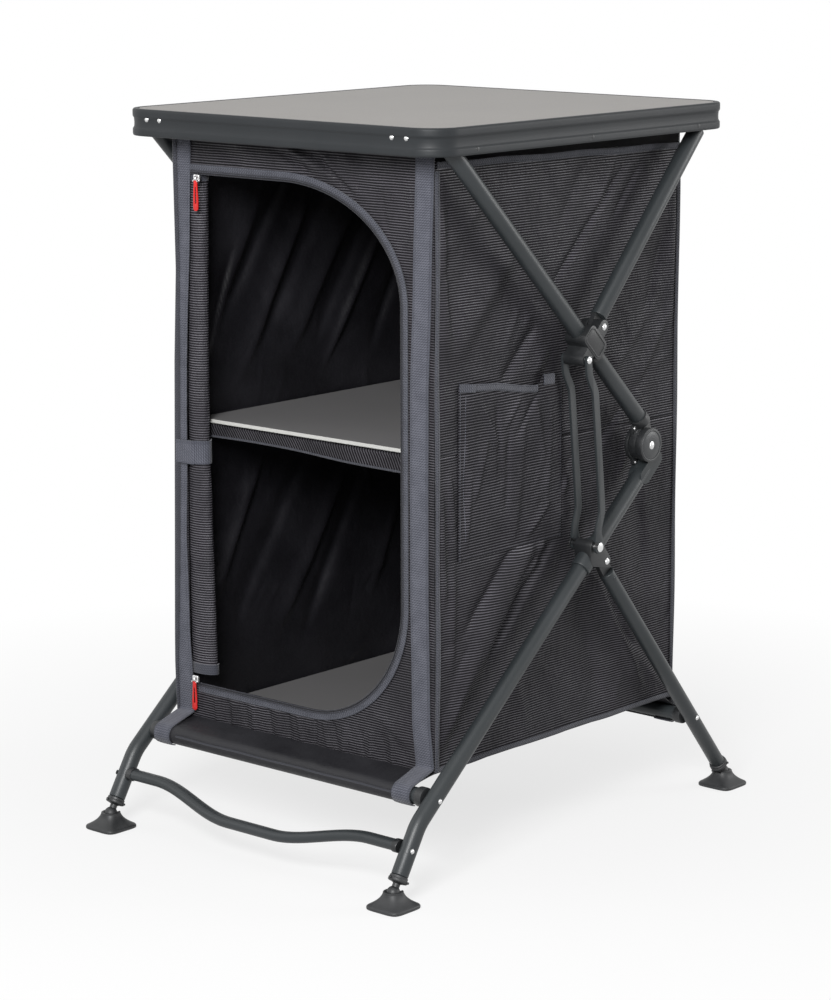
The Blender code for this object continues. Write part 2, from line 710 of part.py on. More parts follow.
# Locking strut: two flat bars either side of the hubs, joined by the pin they swing on.
# The jog sets the bars back, and the open hook lets the stud out towards the front.
def add_strut(side_name, side):
    down = (strut_stud - strut_pivot).normalized()
    back = left_of(down)
    length = (strut_stud - strut_pivot).length
    centre_line = [(0.0, 0.0, strut_half_width), (strut_jog_start, 0.0, strut_half_width),
                   (strut_jog_end, strut_jog, strut_half_width),
                   (length - strut_jog_end, strut_jog, strut_half_width),
                   (length - strut_jog_start, strut_jog / 5, strut_half_width), (length, 0.0, strut_hook_radius)]
    points = [strut_pivot + down * u + back * v for u, v, _ in centre_line]
    widths = [width for _, _, width in centre_line]
    down_angle = degrees(atan2(down.y, down.x))
    outline = arc_points(points[0], widths[0], down_angle + 90.0, down_angle + 270.0)
    normals = []
    for index in range(len(points)):
        ahead = (points[min(index + 1, len(points) - 1)] - points[max(index - 1, 0)]).normalized()
        normals.append(left_of(ahead))
    outline += [p - n * w for p, n, w in list(zip(points, normals, widths))[1:-1]]
    outline += arc_points(points[-1], widths[-1], down_angle - 90.0, down_angle + 90.0)
    outline += [p + n * w for p, n, w in list(zip(points, normals, widths))[-2:0:-1]]
    body = "strut_" + side_name
    strut = add_part("locking_strut_" + side_name,
                     side_plate(outline, *x_range(side, strut_outer, strut_outer + strut_thickness)),
                     body, "anthracite tube")
    shape_with(strut, "UNION",
               cross_pin(*x_range(side, strut_inner - strut_thickness / 2, strut_outer + strut_thickness + 0.0015),
                         strut_pivot, pin_radius),
               side_plate(outline, *x_range(side, strut_inner - strut_thickness, strut_inner)))
    slot_half = stud_radius + 0.0005
    exit_direction = heading(155.5)
    slot = local_rectangle(strut_stud, exit_direction, left_of(exit_direction), 0.0, 4 * strut_hook_radius,
                           -slot_half, slot_half)
    through = x_range(side, strut_inner - 2 * strut_thickness, strut_outer + 2 * strut_thickness)
    shape_with(strut, "DIFFERENCE", side_plate(slot, *through), cross_pin(*through, strut_stud, slot_half))


# Ball stud plugged into a leg's end, and the sole that tilts on it
def add_foot(name, side, leg_body, foot_body, ball, down):
    axis = in_space(0.0, -down)
    base = on_side(side, ball)
    steps = 6
    neck_angle = pi - asin(stud_neck_radius / ball_radius)
    ball_angles = [neck_angle * step / steps for step in range(steps + 1)]
    profile = [(ball_radius * sin(a) if step else 0.0, -ball_radius * cos(a)) for step, a in enumerate(ball_angles)]
    plug = rear_leg_radius - tube_wall - 0.0007
    collar_end = leg_end_gap - seat_gap
    profile += [(stud_neck_radius, stud_collar_start - 0.0005), (stud_collar_radius, stud_collar_start),
                (stud_collar_radius, collar_end), (plug, collar_end), (plug, collar_end + stud_plug_length),
                (0.0, collar_end + stud_plug_length)]
    add_part(name + "_stud", turned(profile, base, axis), leg_body, "black plastic")

    shape = bmesh.new()
    count = 24
    cavity = ball_radius + ball_clearance
    mouth_angle = atan2(foot_height - ball_height, cavity)
    cavity_radius = cavity * cos(mouth_angle)
    levels = [(foot_half_side, 0.0, 5.0), (foot_half_side, foot_rim, 5.0), (foot_half_side * 0.62, 0.0165, 3.5),
              (foot_neck_radius, foot_height, 2.0), (cavity_radius, foot_height, 2.0)]
    for step in range(1, 5):
        angle = mouth_angle - (mouth_angle + pi / 2) * step / 5
        depth = cavity if step == 4 else -cavity * sin(angle)
        levels.append((cavity * cos(angle), ball_height - depth, 2.0))
    rings = []
    for radius, z, power in levels:
        ring = []
        for step in range(count):
            turn = 2 * pi * (step + 0.5) / count
            reach = radius / (abs(cos(turn)) ** power + abs(sin(turn)) ** power) ** (1 / power)
            ring.append(shape.verts.new((base.x + reach * cos(turn), base.y + reach * sin(turn), z)))
        rings.append(ring)
    for lower, upper in zip(rings, rings[1:]):
        bridge(shape, lower, upper)
    shape.faces.new(rings[0])
    shape.faces.new(rings[-1])
    foot = add_part(name, shape, foot_body, "black plastic", 30)
    half_slot = stud_neck_radius + 2 * ball_clearance
    slot = local_rectangle(ball, heading(0.0 if down.x < 0 else 180.0), heading(90.0), 0.0, foot_half_side,
                           -ball_clearance, foot_height)
    shape_with(foot, "DIFFERENCE", side_plate(slot, base.x - half_slot, base.x + half_slot))


def smooth_share(value):
    share = min(max(value, 0.0), 1.0)
    return share * share * (3 - 2 * share)


def add_cross_bars():
    vertical = Vector((0.0, 0.0, 1.0))
    add_part("front_fabric_bar", straight_tube(in_space(-bar_reach, front_bar), in_space(bar_reach, front_bar),
                                               fabric_bar_radius, tube_wall, vertical), "leg_frame", "anthracite tube")
    add_part("rear_fabric_bar", straight_tube(in_space(-bar_reach, rear_bar), in_space(bar_reach, rear_bar),
                                              rear_bar_radius, tube_wall, vertical), "rear_leg_frame", "anthracite tube")
    steps = 28
    path = []
    for step in range(steps + 1):
        x = -bar_reach + 2 * bar_reach * step / steps
        share = 1.0 - smooth_share((abs(x) - brace_middle) / (brace_run_out - brace_middle))
        path.append(Vector((x, brace_end.x - brace_bow * share, brace_end.y - brace_dip * share)))
    add_part("curved_brace", tube(path, brace_radius, brace_radius, tube_wall, vertical, 12),
             "leg_frame", "anthracite tube")


# Door outline in the front plane as (X, Z) points, from the upper left round the right side to the lower left
def door_outline(inset, left):
    top, bottom, right = door_top - inset, door_bottom + inset, door_right - inset
    top_radius, bottom_radius = door_top_radius - inset, door_bottom_radius - inset
    outline = [Vector((left, top))]
    outline += arc_points(Vector((right - top_radius, top - top_radius)), top_radius, 90.0, 0.0, 14)
    outline += arc_points(Vector((right - bottom_radius, bottom + bottom_radius)), bottom_radius, 0.0, -90.0, 14)
    outline.append(Vector((left, bottom)))
    return outline


def add_front():
    panel_outline = rectangle(-cabinet_half_width, cabinet_half_width, cabinet_bottom, cabinet_top_front)
    panel = add_part("front_panel", front_plate(panel_outline, front_face, front_face + fabric), "table_top",
                     "ribbed fabric", 0)
    shape_with(panel, "DIFFERENCE", front_plate(door_outline(zip_band, opening_left), front_face - 0.01, front_face + 0.01))
    band = door_outline(0.0, zip_left) + door_outline(zip_band, zip_left)[::-1]
    add_part("zip_tape", front_plate(band, tape_face, tape_face + zip_tape_thickness), "table_top", "grey webbing", 0)


# Wall of hanging cloth: an upright grid with soft diagonal creases that fade out at its edges.
# Where a pocket is sewn on, the cloth lies flat.
def cloth_wall(across_low, across_high, top_low, top_high, plane, outward, along_x):
    columns, rows = 14, 16
    shape = bmesh.new()
    layers = []
    for depth in (0.0, -fabric):
        grid = []
        for row in range(rows + 1):
            line = []
            for column in range(columns + 1):
                s, t = column / columns, row / rows
                across = across_low + (across_high - across_low) * s
                top = top_low + (top_high - top_low) * s
                z = cabinet_bottom + (top - cabinet_bottom) * t
                fade = min(1.0, 5 * min(s, 1 - s)) * min(1.0, 6 * min(t, 1 - t))
                behind_pocket = (pocket_front - 0.03 < across < pocket_rear + 0.03
                                 and pocket_bottom - 0.05 < z < pocket_top + 0.05)
                if behind_pocket and not along_x:
                    fade = 0.0
                crease = sin(2 * pi * (2.1 * s + 1.3 * t)) * cos(pi * (1.7 * t - 0.6 * s))
                out = plane + outward * (depth - fold_depth * fade * (1 + crease) / 2)
                line.append(shape.verts.new((across, out, z) if along_x else (out, across, z)))
            grid.append(line)
        layers.append(grid)
    outer, inner = layers
    for row in range(rows):
        for column in range(columns):
            for grid in layers:
                shape.faces.new((grid[row][column], grid[row][column + 1], grid[row + 1][column + 1], grid[row + 1][column]))
    edges = [[(0, c) for c in range(columns + 1)], [(rows, c) for c in range(columns + 1)],
             [(r, 0) for r in range(rows + 1)], [(r, columns) for r in range(rows + 1)]]
    for edge in edges:
        for (r0, c0), (r1, c1) in zip(edge, edge[1:]):
            shape.faces.new((outer[r0][c0], outer[r1][c1], inner[r1][c1], inner[r0][c0]))
    return shape


def add_walls():
    reach = cabinet_half_depth - fabric - seat_gap
    for side_name, side in sides.items():
        shape = cloth_wall(-reach, reach, cabinet_top_front, cabinet_top_rear, side * cabinet_half_width, side, False)
        add_part(side_name + "_wall", shape, "table_top", "ribbed fabric", 60)
    shape = cloth_wall(-cabinet_half_width, cabinet_half_width, cabinet_top_rear, cabinet_top_rear,
                       cabinet_half_depth, 1, True)
    add_part("back_wall", shape, "table_top", "ribbed fabric", 60)


# Sheet that follows a path in the side plane, given by its upper face, and spans a width
def draped_strip(path, thickness, x_low, x_high):
    lower = []
    for index, point in enumerate(path):
        ahead = (path[min(index + 1, len(path) - 1)] - path[max(index - 1, 0)]).normalized()
        lower.append(point - left_of(ahead) * thickness)
    return side_plate(path + lower[::-1], x_low, x_high)


def add_floor_and_webbing():
    floor_top = cabinet_bottom - seat_gap
    bar_seat = fabric_bar_radius + seat_gap + fabric
    rear_seat = rear_bar_radius + seat_gap + fabric
    front_touch = front_bar + heading(100.0) * bar_seat
    rear_touch = rear_bar + heading(80.0) * rear_seat
    path = [front_touch, Vector((front_face + 0.004, floor_top)), Vector((cabinet_half_depth - 0.012, floor_top)), rear_touch]
    add_part("floor_fabric", draped_strip(path, fabric, -cabinet_half_width, cabinet_half_width), "table_top",
             "ribbed fabric", 0)

    strip_out = front_face - seat_gap - webbing_thickness
    strip_top = panel_bottom - seat_gap
    inner, outer = cabinet_half_width - webbing_width, cabinet_half_width
    over_flap = webbing_thickness + seat_gap
    wrap = [front_bar + heading(a) * (bar_seat + over_flap) for a in (190.0, 160.0, 130.0, 100.0)]
    front_path = wrap + [Vector((strip_out - 0.0005, floor_top + over_flap)), Vector((strip_out, strip_top))]
    for side_name, side in sides.items():
        x_low, x_high = sorted((side * inner, side * outer))
        add_part("front_webbing_" + side_name, draped_strip(front_path, webbing_thickness, x_low, x_high),
                 "table_top", "grey webbing", 0)
        outline = rectangle(cabinet_half_depth + seat_gap, cabinet_half_depth + seat_gap + webbing_thickness,
                            cabinet_bottom, strip_top)
        add_part("rear_webbing_" + side_name, side_plate(outline, x_low, x_high), "table_top", "grey webbing", 0)


# The unzipped door, rolled up behind the left webbing: a fuller roll towards its lower end
def add_door_roll():
    shape = bmesh.new()
    rows, count = 18, 24
    rings = []
    for row in range(rows + 1):
        share = row / rows
        half_width = roll_half_width_bottom + (roll_half_width_top - roll_half_width_bottom) * share
        z = roll_bottom + (roll_top - roll_bottom) * share
        squeeze = 1.0 - 0.12 * max(0.0, 1.0 - abs(z - roll_strap_z) / 0.06)
        centre_y = front_face + fabric + seat_gap + roll_depth
        ring = []
        for step in range(count):
            turn = 2 * pi * step / count
            lump = 1.0 - 0.07 * (0.5 + 0.5 * cos(turn - 1.1 + 1.2 * sin(4 * share))) ** 6
            reach = squeeze * lump
            ring.append(shape.verts.new((roll_x + half_width * reach * cos(turn),
                                         centre_y + roll_depth * reach * sin(turn), z)))
        rings.append(ring)
    for lower, upper in zip(rings, rings[1:]):
        bridge(shape, lower, upper)
    shape.faces.new(rings[0])
    shape.faces.new(rings[-1])
    add_part("door_roll", shape, "table_top", "ribbed fabric", 50)

    share = (roll_strap_z - roll_bottom) / (roll_top - roll_bottom)
    half_width = roll_half_width_bottom + (roll_half_width_top - roll_half_width_bottom) * share
    strip = webbing_thickness
    outside = front_face - 2 * seat_gap - webbing_thickness - strip
    centre = Vector((roll_x, front_face + fabric + seat_gap + roll_depth))
    reach_x, reach_y = half_width + seat_gap + strip, roll_depth + seat_gap + strip
    around = [centre + Vector((reach_x * cos(radians(a)), reach_y * sin(radians(a)))) for a in range(-20, 107, 14)]
    path = [Vector((-cabinet_half_width, outside)), Vector((centre.x + reach_x * 0.55, outside))] + around
    inner = []
    for index, point in enumerate(path):
        ahead = (path[min(index + 1, len(path) - 1)] - path[max(index - 1, 0)]).normalized()
        inner.append(point + left_of(ahead) * strip)
    low, high = roll_strap_z - roll_strap_height / 2, roll_strap_z + roll_strap_height / 2
    add_part("roll_strap", flat_plate(path + inner[::-1], low, high), "table_top", "grey webbing", 40)


def add_pocket():
    inner_x = cabinet_half_width + seat_gap
    outer_x = inner_x + pocket_depth + fabric
    outline = rectangle(pocket_front, pocket_rear, pocket_bottom, pocket_top)
    pocket = add_part("side_pocket", side_plate(outline, inner_x, outer_x), "table_top", "ribbed fabric", 0)
    hollow = rectangle(pocket_front + pocket_edge, pocket_rear - pocket_edge, pocket_bottom + pocket_edge, pocket_top + 0.02)
    shape_with(pocket, "DIFFERENCE", side_plate(hollow, inner_x - 0.01, outer_x - fabric))


def add_boards():
    half_w = board_width / 2
    outline = rectangle(-half_w, half_w, board_front, board_rear)
    add_part("shelf_board", flat_plate(outline, shelf_height - board_thickness, shelf_height), "shelf", "grey board", 0)
    add_part("floor_board", flat_plate(outline, cabinet_bottom + seat_gap, cabinet_bottom + seat_gap + board_thickness),
             "floor_board", "grey board", 0)
    sling_top = shelf_height - board_thickness - seat_gap
    rear = cabinet_half_depth - fabric - fold_depth - seat_gap
    reach_x = cabinet_half_width - fabric - fold_depth - seat_gap
    under = sling_top - fabric
    lip_low = sling_top - sling_lip
    outline = [(board_front, lip_low), (board_front + fabric, lip_low), (board_front + fabric, under),
               (rear - fabric, under), (rear - fabric, lip_low), (rear, lip_low), (rear, sling_top),
               (board_front, sling_top)]
    add_part("shelf_sling", side_plate([Vector(p) for p in outline], -reach_x, reach_x), "table_top",
             "lining fabric", 0)


def add_zip_slider(level, x, z):
    half_w, half_h = slider_width / 2, slider_height / 2
    chamfer = 0.0025
    outline = [Vector((x + sx * (half_w - dx), z + sz * (half_h - dz)))
               for sx, sz, dx, dz in ((-1, -1, chamfer, 0), (1, -1, chamfer, 0), (1, -1, 0, chamfer), (1, 1, 0, chamfer),
                                      (1, 1, chamfer, 0), (-1, 1, chamfer, 0), (-1, 1, 0, chamfer), (-1, -1, 0, chamfer))]
    slider = add_part(level + "_zip_slider", front_plate(outline, slider_front, slider_back), level + "_slider",
                      "bright rivet", 0)
    pivot = Vector((x, z - pull_pivot_drop))
    neck, cheek_start = pull_width / 3, pull_width / 3 + seat_gap
    shape_with(slider, "UNION", *[cross_pin(*sorted((x + sign * cheek_start, x + sign * (cheek_start + pull_cheek))),
                                            Vector((pull_pivot_y, pivot.y)), pull_thickness) for sign in (-1, 1)])
    tip = pivot - Vector((0.0, pull_length - pull_width / 2))
    outline = [pivot + Vector((neck, 0.3 * pull_thickness)), pivot + Vector((-neck, 0.3 * pull_thickness))]
    outline += arc_points(tip, pull_width / 2, 180.0, 360.0, 8)
    y_low = pull_pivot_y - pull_thickness / 2
    add_part(level + "_zip_pull", front_plate(outline, y_low, y_low + pull_thickness), level + "_pull", "red cord", 0)


add_table_top()
for side_name, side in sides.items():
    add_front_pivot_bracket(side_name, side)
    add_upper_frame(side_name, side)
    add_rear_tube(side_name, side)
    add_rear_rest_bracket(side_name, side)
    add_leg(side_name, side)
    add_lower_hub(side_name, side)
    add_rear_leg(side_name, side)
    add_strut(side_name, side)
    add_foot("front_foot_" + side_name, side, "leg_frame", "front_foot_" + side_name, front_ball, shin_down)
    add_foot("rear_foot_" + side_name, side, "rear_leg_frame", "rear_foot_" + side_name, rear_ball, rear_down)
add_cross_bars()
add_front()
add_walls()
add_floor_and_webbing()
add_door_roll()
add_pocket()
add_boards()
add_zip_slider("upper", slider_x_top, slider_z_top)
add_zip_slider("lower", slider_x_bottom, slider_z_bottom)

# The origin is on the floor, midway between the front and rear feet
for body in bodies.values():
    body.location.y -= (front_ball.x + rear_ball.x) / 2
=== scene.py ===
import json
import math

import bmesh
import bpy
import numpy as np
from mathutils import Matrix

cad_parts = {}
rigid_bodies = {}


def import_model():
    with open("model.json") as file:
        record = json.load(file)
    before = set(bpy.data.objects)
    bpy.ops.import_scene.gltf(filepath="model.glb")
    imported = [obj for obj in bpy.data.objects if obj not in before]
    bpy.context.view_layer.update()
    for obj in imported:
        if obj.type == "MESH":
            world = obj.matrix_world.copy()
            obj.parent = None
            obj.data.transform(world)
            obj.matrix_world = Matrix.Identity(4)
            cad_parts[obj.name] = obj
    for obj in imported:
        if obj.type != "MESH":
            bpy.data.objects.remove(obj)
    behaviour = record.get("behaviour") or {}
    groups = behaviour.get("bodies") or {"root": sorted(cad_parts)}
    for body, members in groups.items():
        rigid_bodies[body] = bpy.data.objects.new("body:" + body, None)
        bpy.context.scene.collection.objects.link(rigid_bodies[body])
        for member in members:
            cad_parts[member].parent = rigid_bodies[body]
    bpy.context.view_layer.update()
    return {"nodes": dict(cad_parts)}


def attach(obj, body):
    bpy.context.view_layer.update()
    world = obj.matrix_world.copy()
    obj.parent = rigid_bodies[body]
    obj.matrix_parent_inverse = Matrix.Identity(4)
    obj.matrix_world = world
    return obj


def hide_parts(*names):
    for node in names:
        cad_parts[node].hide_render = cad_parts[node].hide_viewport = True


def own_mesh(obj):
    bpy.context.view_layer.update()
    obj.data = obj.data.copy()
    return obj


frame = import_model()
print("frame loaded")

# Side-plane geometry: a point there is (Y, Z), and an angle runs from +Y towards +Z.
# Offset is how far each side's plane of tubes lies from the middle, along X; tube is the tubes' radius.
side = {
    "offset": 0.251,
    "tube": 0.011,
    "knee": (0.1345, 0.5107),
    "frontPivot": (-0.258, 0.9265),
    "rearTubeTop": (0.2459, 0.9143),
    "frontLegAngle": 220.0,
    "shinAngle": 238.7,
    "rearLegAngle": -50.6,
    "upperKneeOffset": 0.0205,
    "lowerKneeOffset": 0.0295,
    "upperHubRun": 0.3785,
    "rearTubeOffset": 0.0255,
    "strutOffset": 0.027,
    "lowerHubRun": 0.159,
    "rearLegOffset": 0.021,
    "bendHeight": 0.096,
    "ballHeight": 0.020,
    "frontBarHeight": 0.1211,
    "rearBarHeight": 0.1145,
}


# Unit direction at an angle in degrees
def heading(angle):
    return np.array([math.cos(math.radians(angle)), math.sin(math.radians(angle))])


def leftOf(direction):
    return np.array([-direction[1], direction[0]])


# Point at a height on the line from start
def atHeight(start, direction, height):
    return start + direction * ((height - start[1]) / direction[1])


knee, frontPivot, rearTubeTop = (np.array(side[key]) for key in ("knee", "frontPivot", "rearTubeTop"))
toKnee = knee - frontPivot
upperDown = heading(math.degrees(math.atan2(toKnee[1], toKnee[0]) +
                                 math.asin(side["upperKneeOffset"] / math.hypot(*toKnee))))
legDown, shinDown, rearDown = (heading(side[key]) for key in ("frontLegAngle", "shinAngle", "rearLegAngle"))
upperNormal, legNormal = leftOf(upperDown), -leftOf(legDown)
upperKneeFoot = knee + upperNormal * side["upperKneeOffset"]
legKneeFoot = knee - legNormal * side["lowerKneeOffset"]
upperHub = frontPivot + upperDown * side["upperHubRun"]
rearTubePivot = upperHub + upperNormal * side["rearTubeOffset"]
rearUp = (rearTubeTop - rearTubePivot) / math.hypot(*(rearTubeTop - rearTubePivot))
strutPivot = upperHub - upperNormal * side["strutOffset"] + upperDown * 0.0015
lowerHub = legKneeFoot + legDown * side["lowerHubRun"]
rearLegPivot = lowerHub - legNormal * side["rearLegOffset"]
strutStud = lowerHub + legNormal * 0.0142 + legDown * 0.0047
legBend = atHeight(legKneeFoot, legDown, side["bendHeight"])
frontBall = atHeight(legBend, shinDown, side["ballHeight"])
rearBall = atHeight(rearLegPivot, rearDown, side["ballHeight"])
frontBar = atHeight(legKneeFoot, legDown, side["frontBarHeight"])
rearBar = atHeight(rearLegPivot, rearDown, side["rearBarHeight"])
sides = {"left": -1, "right": 1}
topMiddle = np.array([0.0, -(frontBall[0] + rearBall[0]) / 2, 0.0])


def inSpace(x, point):
    return np.array([x, point[0], point[1]])


def unit(v):
    return v / np.linalg.norm(v, axis=-1, keepdims=True)


# Smooth step from 0 to 1
def ease(value):
    value = np.clip(value, 0, 1)
    return value * value * (3 - 2 * value)


# Length run along a path up to each of its points
def runAlong(path):
    return np.concatenate([[0], np.cumsum(np.linalg.norm(np.diff(path, axis=0), axis=1))])


# The same path with points about a step apart
def resampled(path, step):
    path = np.asarray(path, float)
    run = runAlong(path)
    at = np.linspace(0, run[-1], max(2, int(run[-1] / step) + 1))
    return np.stack([np.interp(at, run, path[:, i]) for i in range(path.shape[1])], 1)


# Points are given with Y counted from the middle of the table top; the frame counts it from between the feet
def makePiece(name, points, faces, uv=None, smoothAngle=40):
    mesh = bpy.data.meshes.new(name)
    places = np.asarray(points, float).reshape(-1, 3) + topMiddle
    mesh.from_pydata(places.tolist(), [], faces.tolist() if isinstance(faces, np.ndarray) else faces)
    if uv is not None:
        layer = mesh.uv_layers.new(name="UVMap")
        corners = np.empty(len(mesh.loops), int)
        mesh.loops.foreach_get("vertex_index", corners)
        layer.data.foreach_set("uv", np.asarray(uv, float).reshape(-1, 2)[corners].ravel())
    mesh.update()
    mesh.shade_smooth()
    if smoothAngle:
        mesh.set_sharp_from_angle(angle=math.radians(smoothAngle))
    piece = bpy.data.objects.new(name, mesh)
    bpy.context.collection.objects.link(piece)
    return piece


# Quads of a grid of rows by columns, with either direction closed on itself
def gridQuads(rows, columns, closeRows, closeColumns):
    r, c = np.meshgrid(np.arange(rows if closeRows else rows - 1),
                       np.arange(columns if closeColumns else columns - 1), indexing="ij")
    r, c = r.ravel(), c.ravel()
    r1, c1 = (r + 1) % rows, (c + 1) % columns
    return np.stack([r * columns + c, r * columns + c1, r1 * columns + c1, r1 * columns + c], 1)


# Rings of points, row by row, joined into a closed skin with flat or pinched ends
def skinPiece(name, rings, uv=None, *, smoothAngle, closeRows=False):
    rings = np.asarray(rings, float)
    rows, columns = rings.shape[:2]
    faces = [list(f) for f in gridQuads(rows, columns, closeRows, True)]
    if not closeRows:
        faces.append(list(range(columns))[::-1])
        faces.append([(rows - 1) * columns + i for i in range(columns)])
    piece = makePiece(name, rings, faces, uv, smoothAngle)
    facingOut(piece)
    return piece


# Turns all faces of a closed piece outwards
def facingOut(piece):
    shape = bmesh.new()
    shape.from_mesh(piece.data)
    bmesh.ops.recalc_face_normals(shape, faces=shape.faces)
    shape.to_mesh(piece.data)
    shape.free()


# Section carried along a path: at each path point the section's first axis lies along the reference
# direction made square to the path, and its second axis is square to both
def carriedRings(path, section, reference, scale=None, ahead=None):
    path, section, reference = (np.asarray(a, float) for a in (path, section, reference))
    ahead = unit(np.gradient(path, axis=0)) if ahead is None else ahead
    across = unit(reference - ahead * (ahead @ reference)[:, None])
    upright = np.cross(ahead, across)
    scale = np.ones(len(path)) if scale is None else np.asarray(scale, float)
    return (path[:, None, :] + scale[:, None, None] *
            (section[None, :, :1] * across[:, None, :] + section[None, :, 1:] * upright[:, None, :]))


# Rounded section: |x/a|^n + |y/b|^n = 1
def roundSection(halfWide, halfHigh, count, power=2.0):
    t = 2 * np.pi * np.arange(count) / count
    c, s = np.cos(t), np.sin(t)
    reach = (np.abs(c) ** power + np.abs(s) ** power) ** (-1 / power)
    return np.stack([halfWide * c * reach, halfHigh * s * reach], 1)


# Tube with its end edges turned over by a small radius
def tubePiece(name, path, halfWide, halfHigh, reference=(1, 0, 0), turn=0.0012, power=2.0):
    path = np.asarray(path, float)
    first, last = unit(path[1] - path[0]), unit(path[-1] - path[-2])
    a = np.linspace(0, np.pi / 2, 5)
    small = min(halfWide, halfHigh)
    stations = np.vstack([path[0] + first * (turn * (1 - np.cos(x))) for x in a] + [path[1:-1]] +
                         [path[-1] - last * (turn * (1 - np.cos(x))) for x in a[::-1]])
    closing = [1 - turn / small * (1 - math.sin(x)) for x in a]
    scale = closing + [1.0] * (len(path) - 2) + closing[::-1]
    ahead = np.vstack([first] * 5 + [unit(np.gradient(path, axis=0))[1:-1]] * (len(path) > 2) + [last] * 5)
    section = roundSection(halfWide, halfHigh, 40, power)
    return skinPiece(name, carriedRings(stations, section, reference, scale, ahead), smoothAngle=50)


# Turned piece: each profile point is (radius, distance along the axis), spun once round
def turnedPiece(name, profile, base, axis, count, smoothAngle=35):
    axis = unit(np.asarray(axis, float))
    across = unit(np.cross(axis, [0.0, 0.0, 1.0] if abs(axis[2]) < 0.9 else [1.0, 0.0, 0.0]))
    upright = np.cross(axis, across)
    profile = np.asarray(profile, float)
    t = 2 * np.pi * np.arange(count) / count
    around = np.cos(t)[:, None] * across + np.sin(t)[:, None] * upright
    rings = (np.asarray(base)[None, None, :] + profile[:, 1][:, None, None] * axis +
             np.maximum(profile[:, 0], 1e-5)[:, None, None] * around[None])
    return skinPiece(name, rings, smoothAngle=smoothAngle)


# Outline of the convex hull round circles, each (centre, radius)
def outlineAround(circles, steps=48):
    t = 2 * np.pi * np.arange(steps) / steps
    points = np.vstack([np.asarray(c) + r * np.stack([np.cos(t), np.sin(t)], 1) for c, r in circles])
    points = points[np.lexsort((points[:, 1], points[:, 0]))]

    def half(ordered):
        kept = []
        for p in ordered:
            while len(kept) > 1:
                a, b = kept[-1] - kept[-2], p - kept[-2]
                if a[0] * b[1] - a[1] * b[0] > 1e-9:
                    break
                kept.pop()
            kept.append(p)
        return kept[:-1]

    return np.array(half(points) + half(points[::-1]))


def roundEdges(piece, width, segments=3, angle=40):
    piece.data.shade_smooth()
    bevel = piece.modifiers.new("roundEdges", "BEVEL")
    bevel.width = width
    bevel.segments = segments
    bevel.limit_method = "ANGLE"
    bevel.angle_limit = math.radians(angle)
    bevel.harden_normals = False


# Puts the modifiers' result in place of the mesh
def applyAll(piece):
    depsgraph = bpy.context.evaluated_depsgraph_get()
    mesh = bpy.data.meshes.new_from_object(piece.evaluated_get(depsgraph), depsgraph=depsgraph)
    old = piece.data
    piece.modifiers.clear()
    piece.data = mesh
    bpy.data.meshes.remove(old)
    mesh.name = piece.name
    mesh.shade_smooth()
    mesh.set_sharp_from_angle(angle=math.radians(38))


# Welds shapes into one piece, cuts others away, then rounds the edges
def combine(name, pieces, cutters=(), bevel=0.001, segments=2):
    base = pieces[0]
    for operation, tools in (("UNION", pieces[1:]), ("DIFFERENCE", cutters)):
        for tool in tools:
            step = base.modifiers.new(operation, "BOOLEAN")
            step.operation, step.solver, step.object = operation, "EXACT", tool
    applyAll(base)
    for tool in list(pieces[1:]) + list(cutters):
        bpy.data.objects.remove(tool, do_unlink=True)
    if bevel:
        roundEdges(base, bevel, segments, 35)
        applyAll(base)
    base.name = name
    base.data.name = name
    return base


# Flat plate between two X values with an outline in the side plane
def plainPlate(outline, xLow, xHigh):
    outline = np.asarray(outline, float)
    rings = np.stack([np.column_stack([np.full(len(outline), x), outline]) for x in (xLow, xHigh)])
    return skinPiece("plate", rings, smoothAngle=0)


def plainRod(start, end, radius, count=32):
    rings = carriedRings([start, end], roundSection(radius, radius, count), (0.02, 0.7, 0.7))
    return skinPiece("rod", rings, smoothAngle=30)


# Corners of a box with its own axes in the side plane
def localBox(origin, along, normal, lowU, highU, lowV, highV):
    corners = [(lowU, lowV), (highU, lowV), (highU, highV), (lowU, highV)]
    return np.array([origin + along * u + normal * v for u, v in corners])


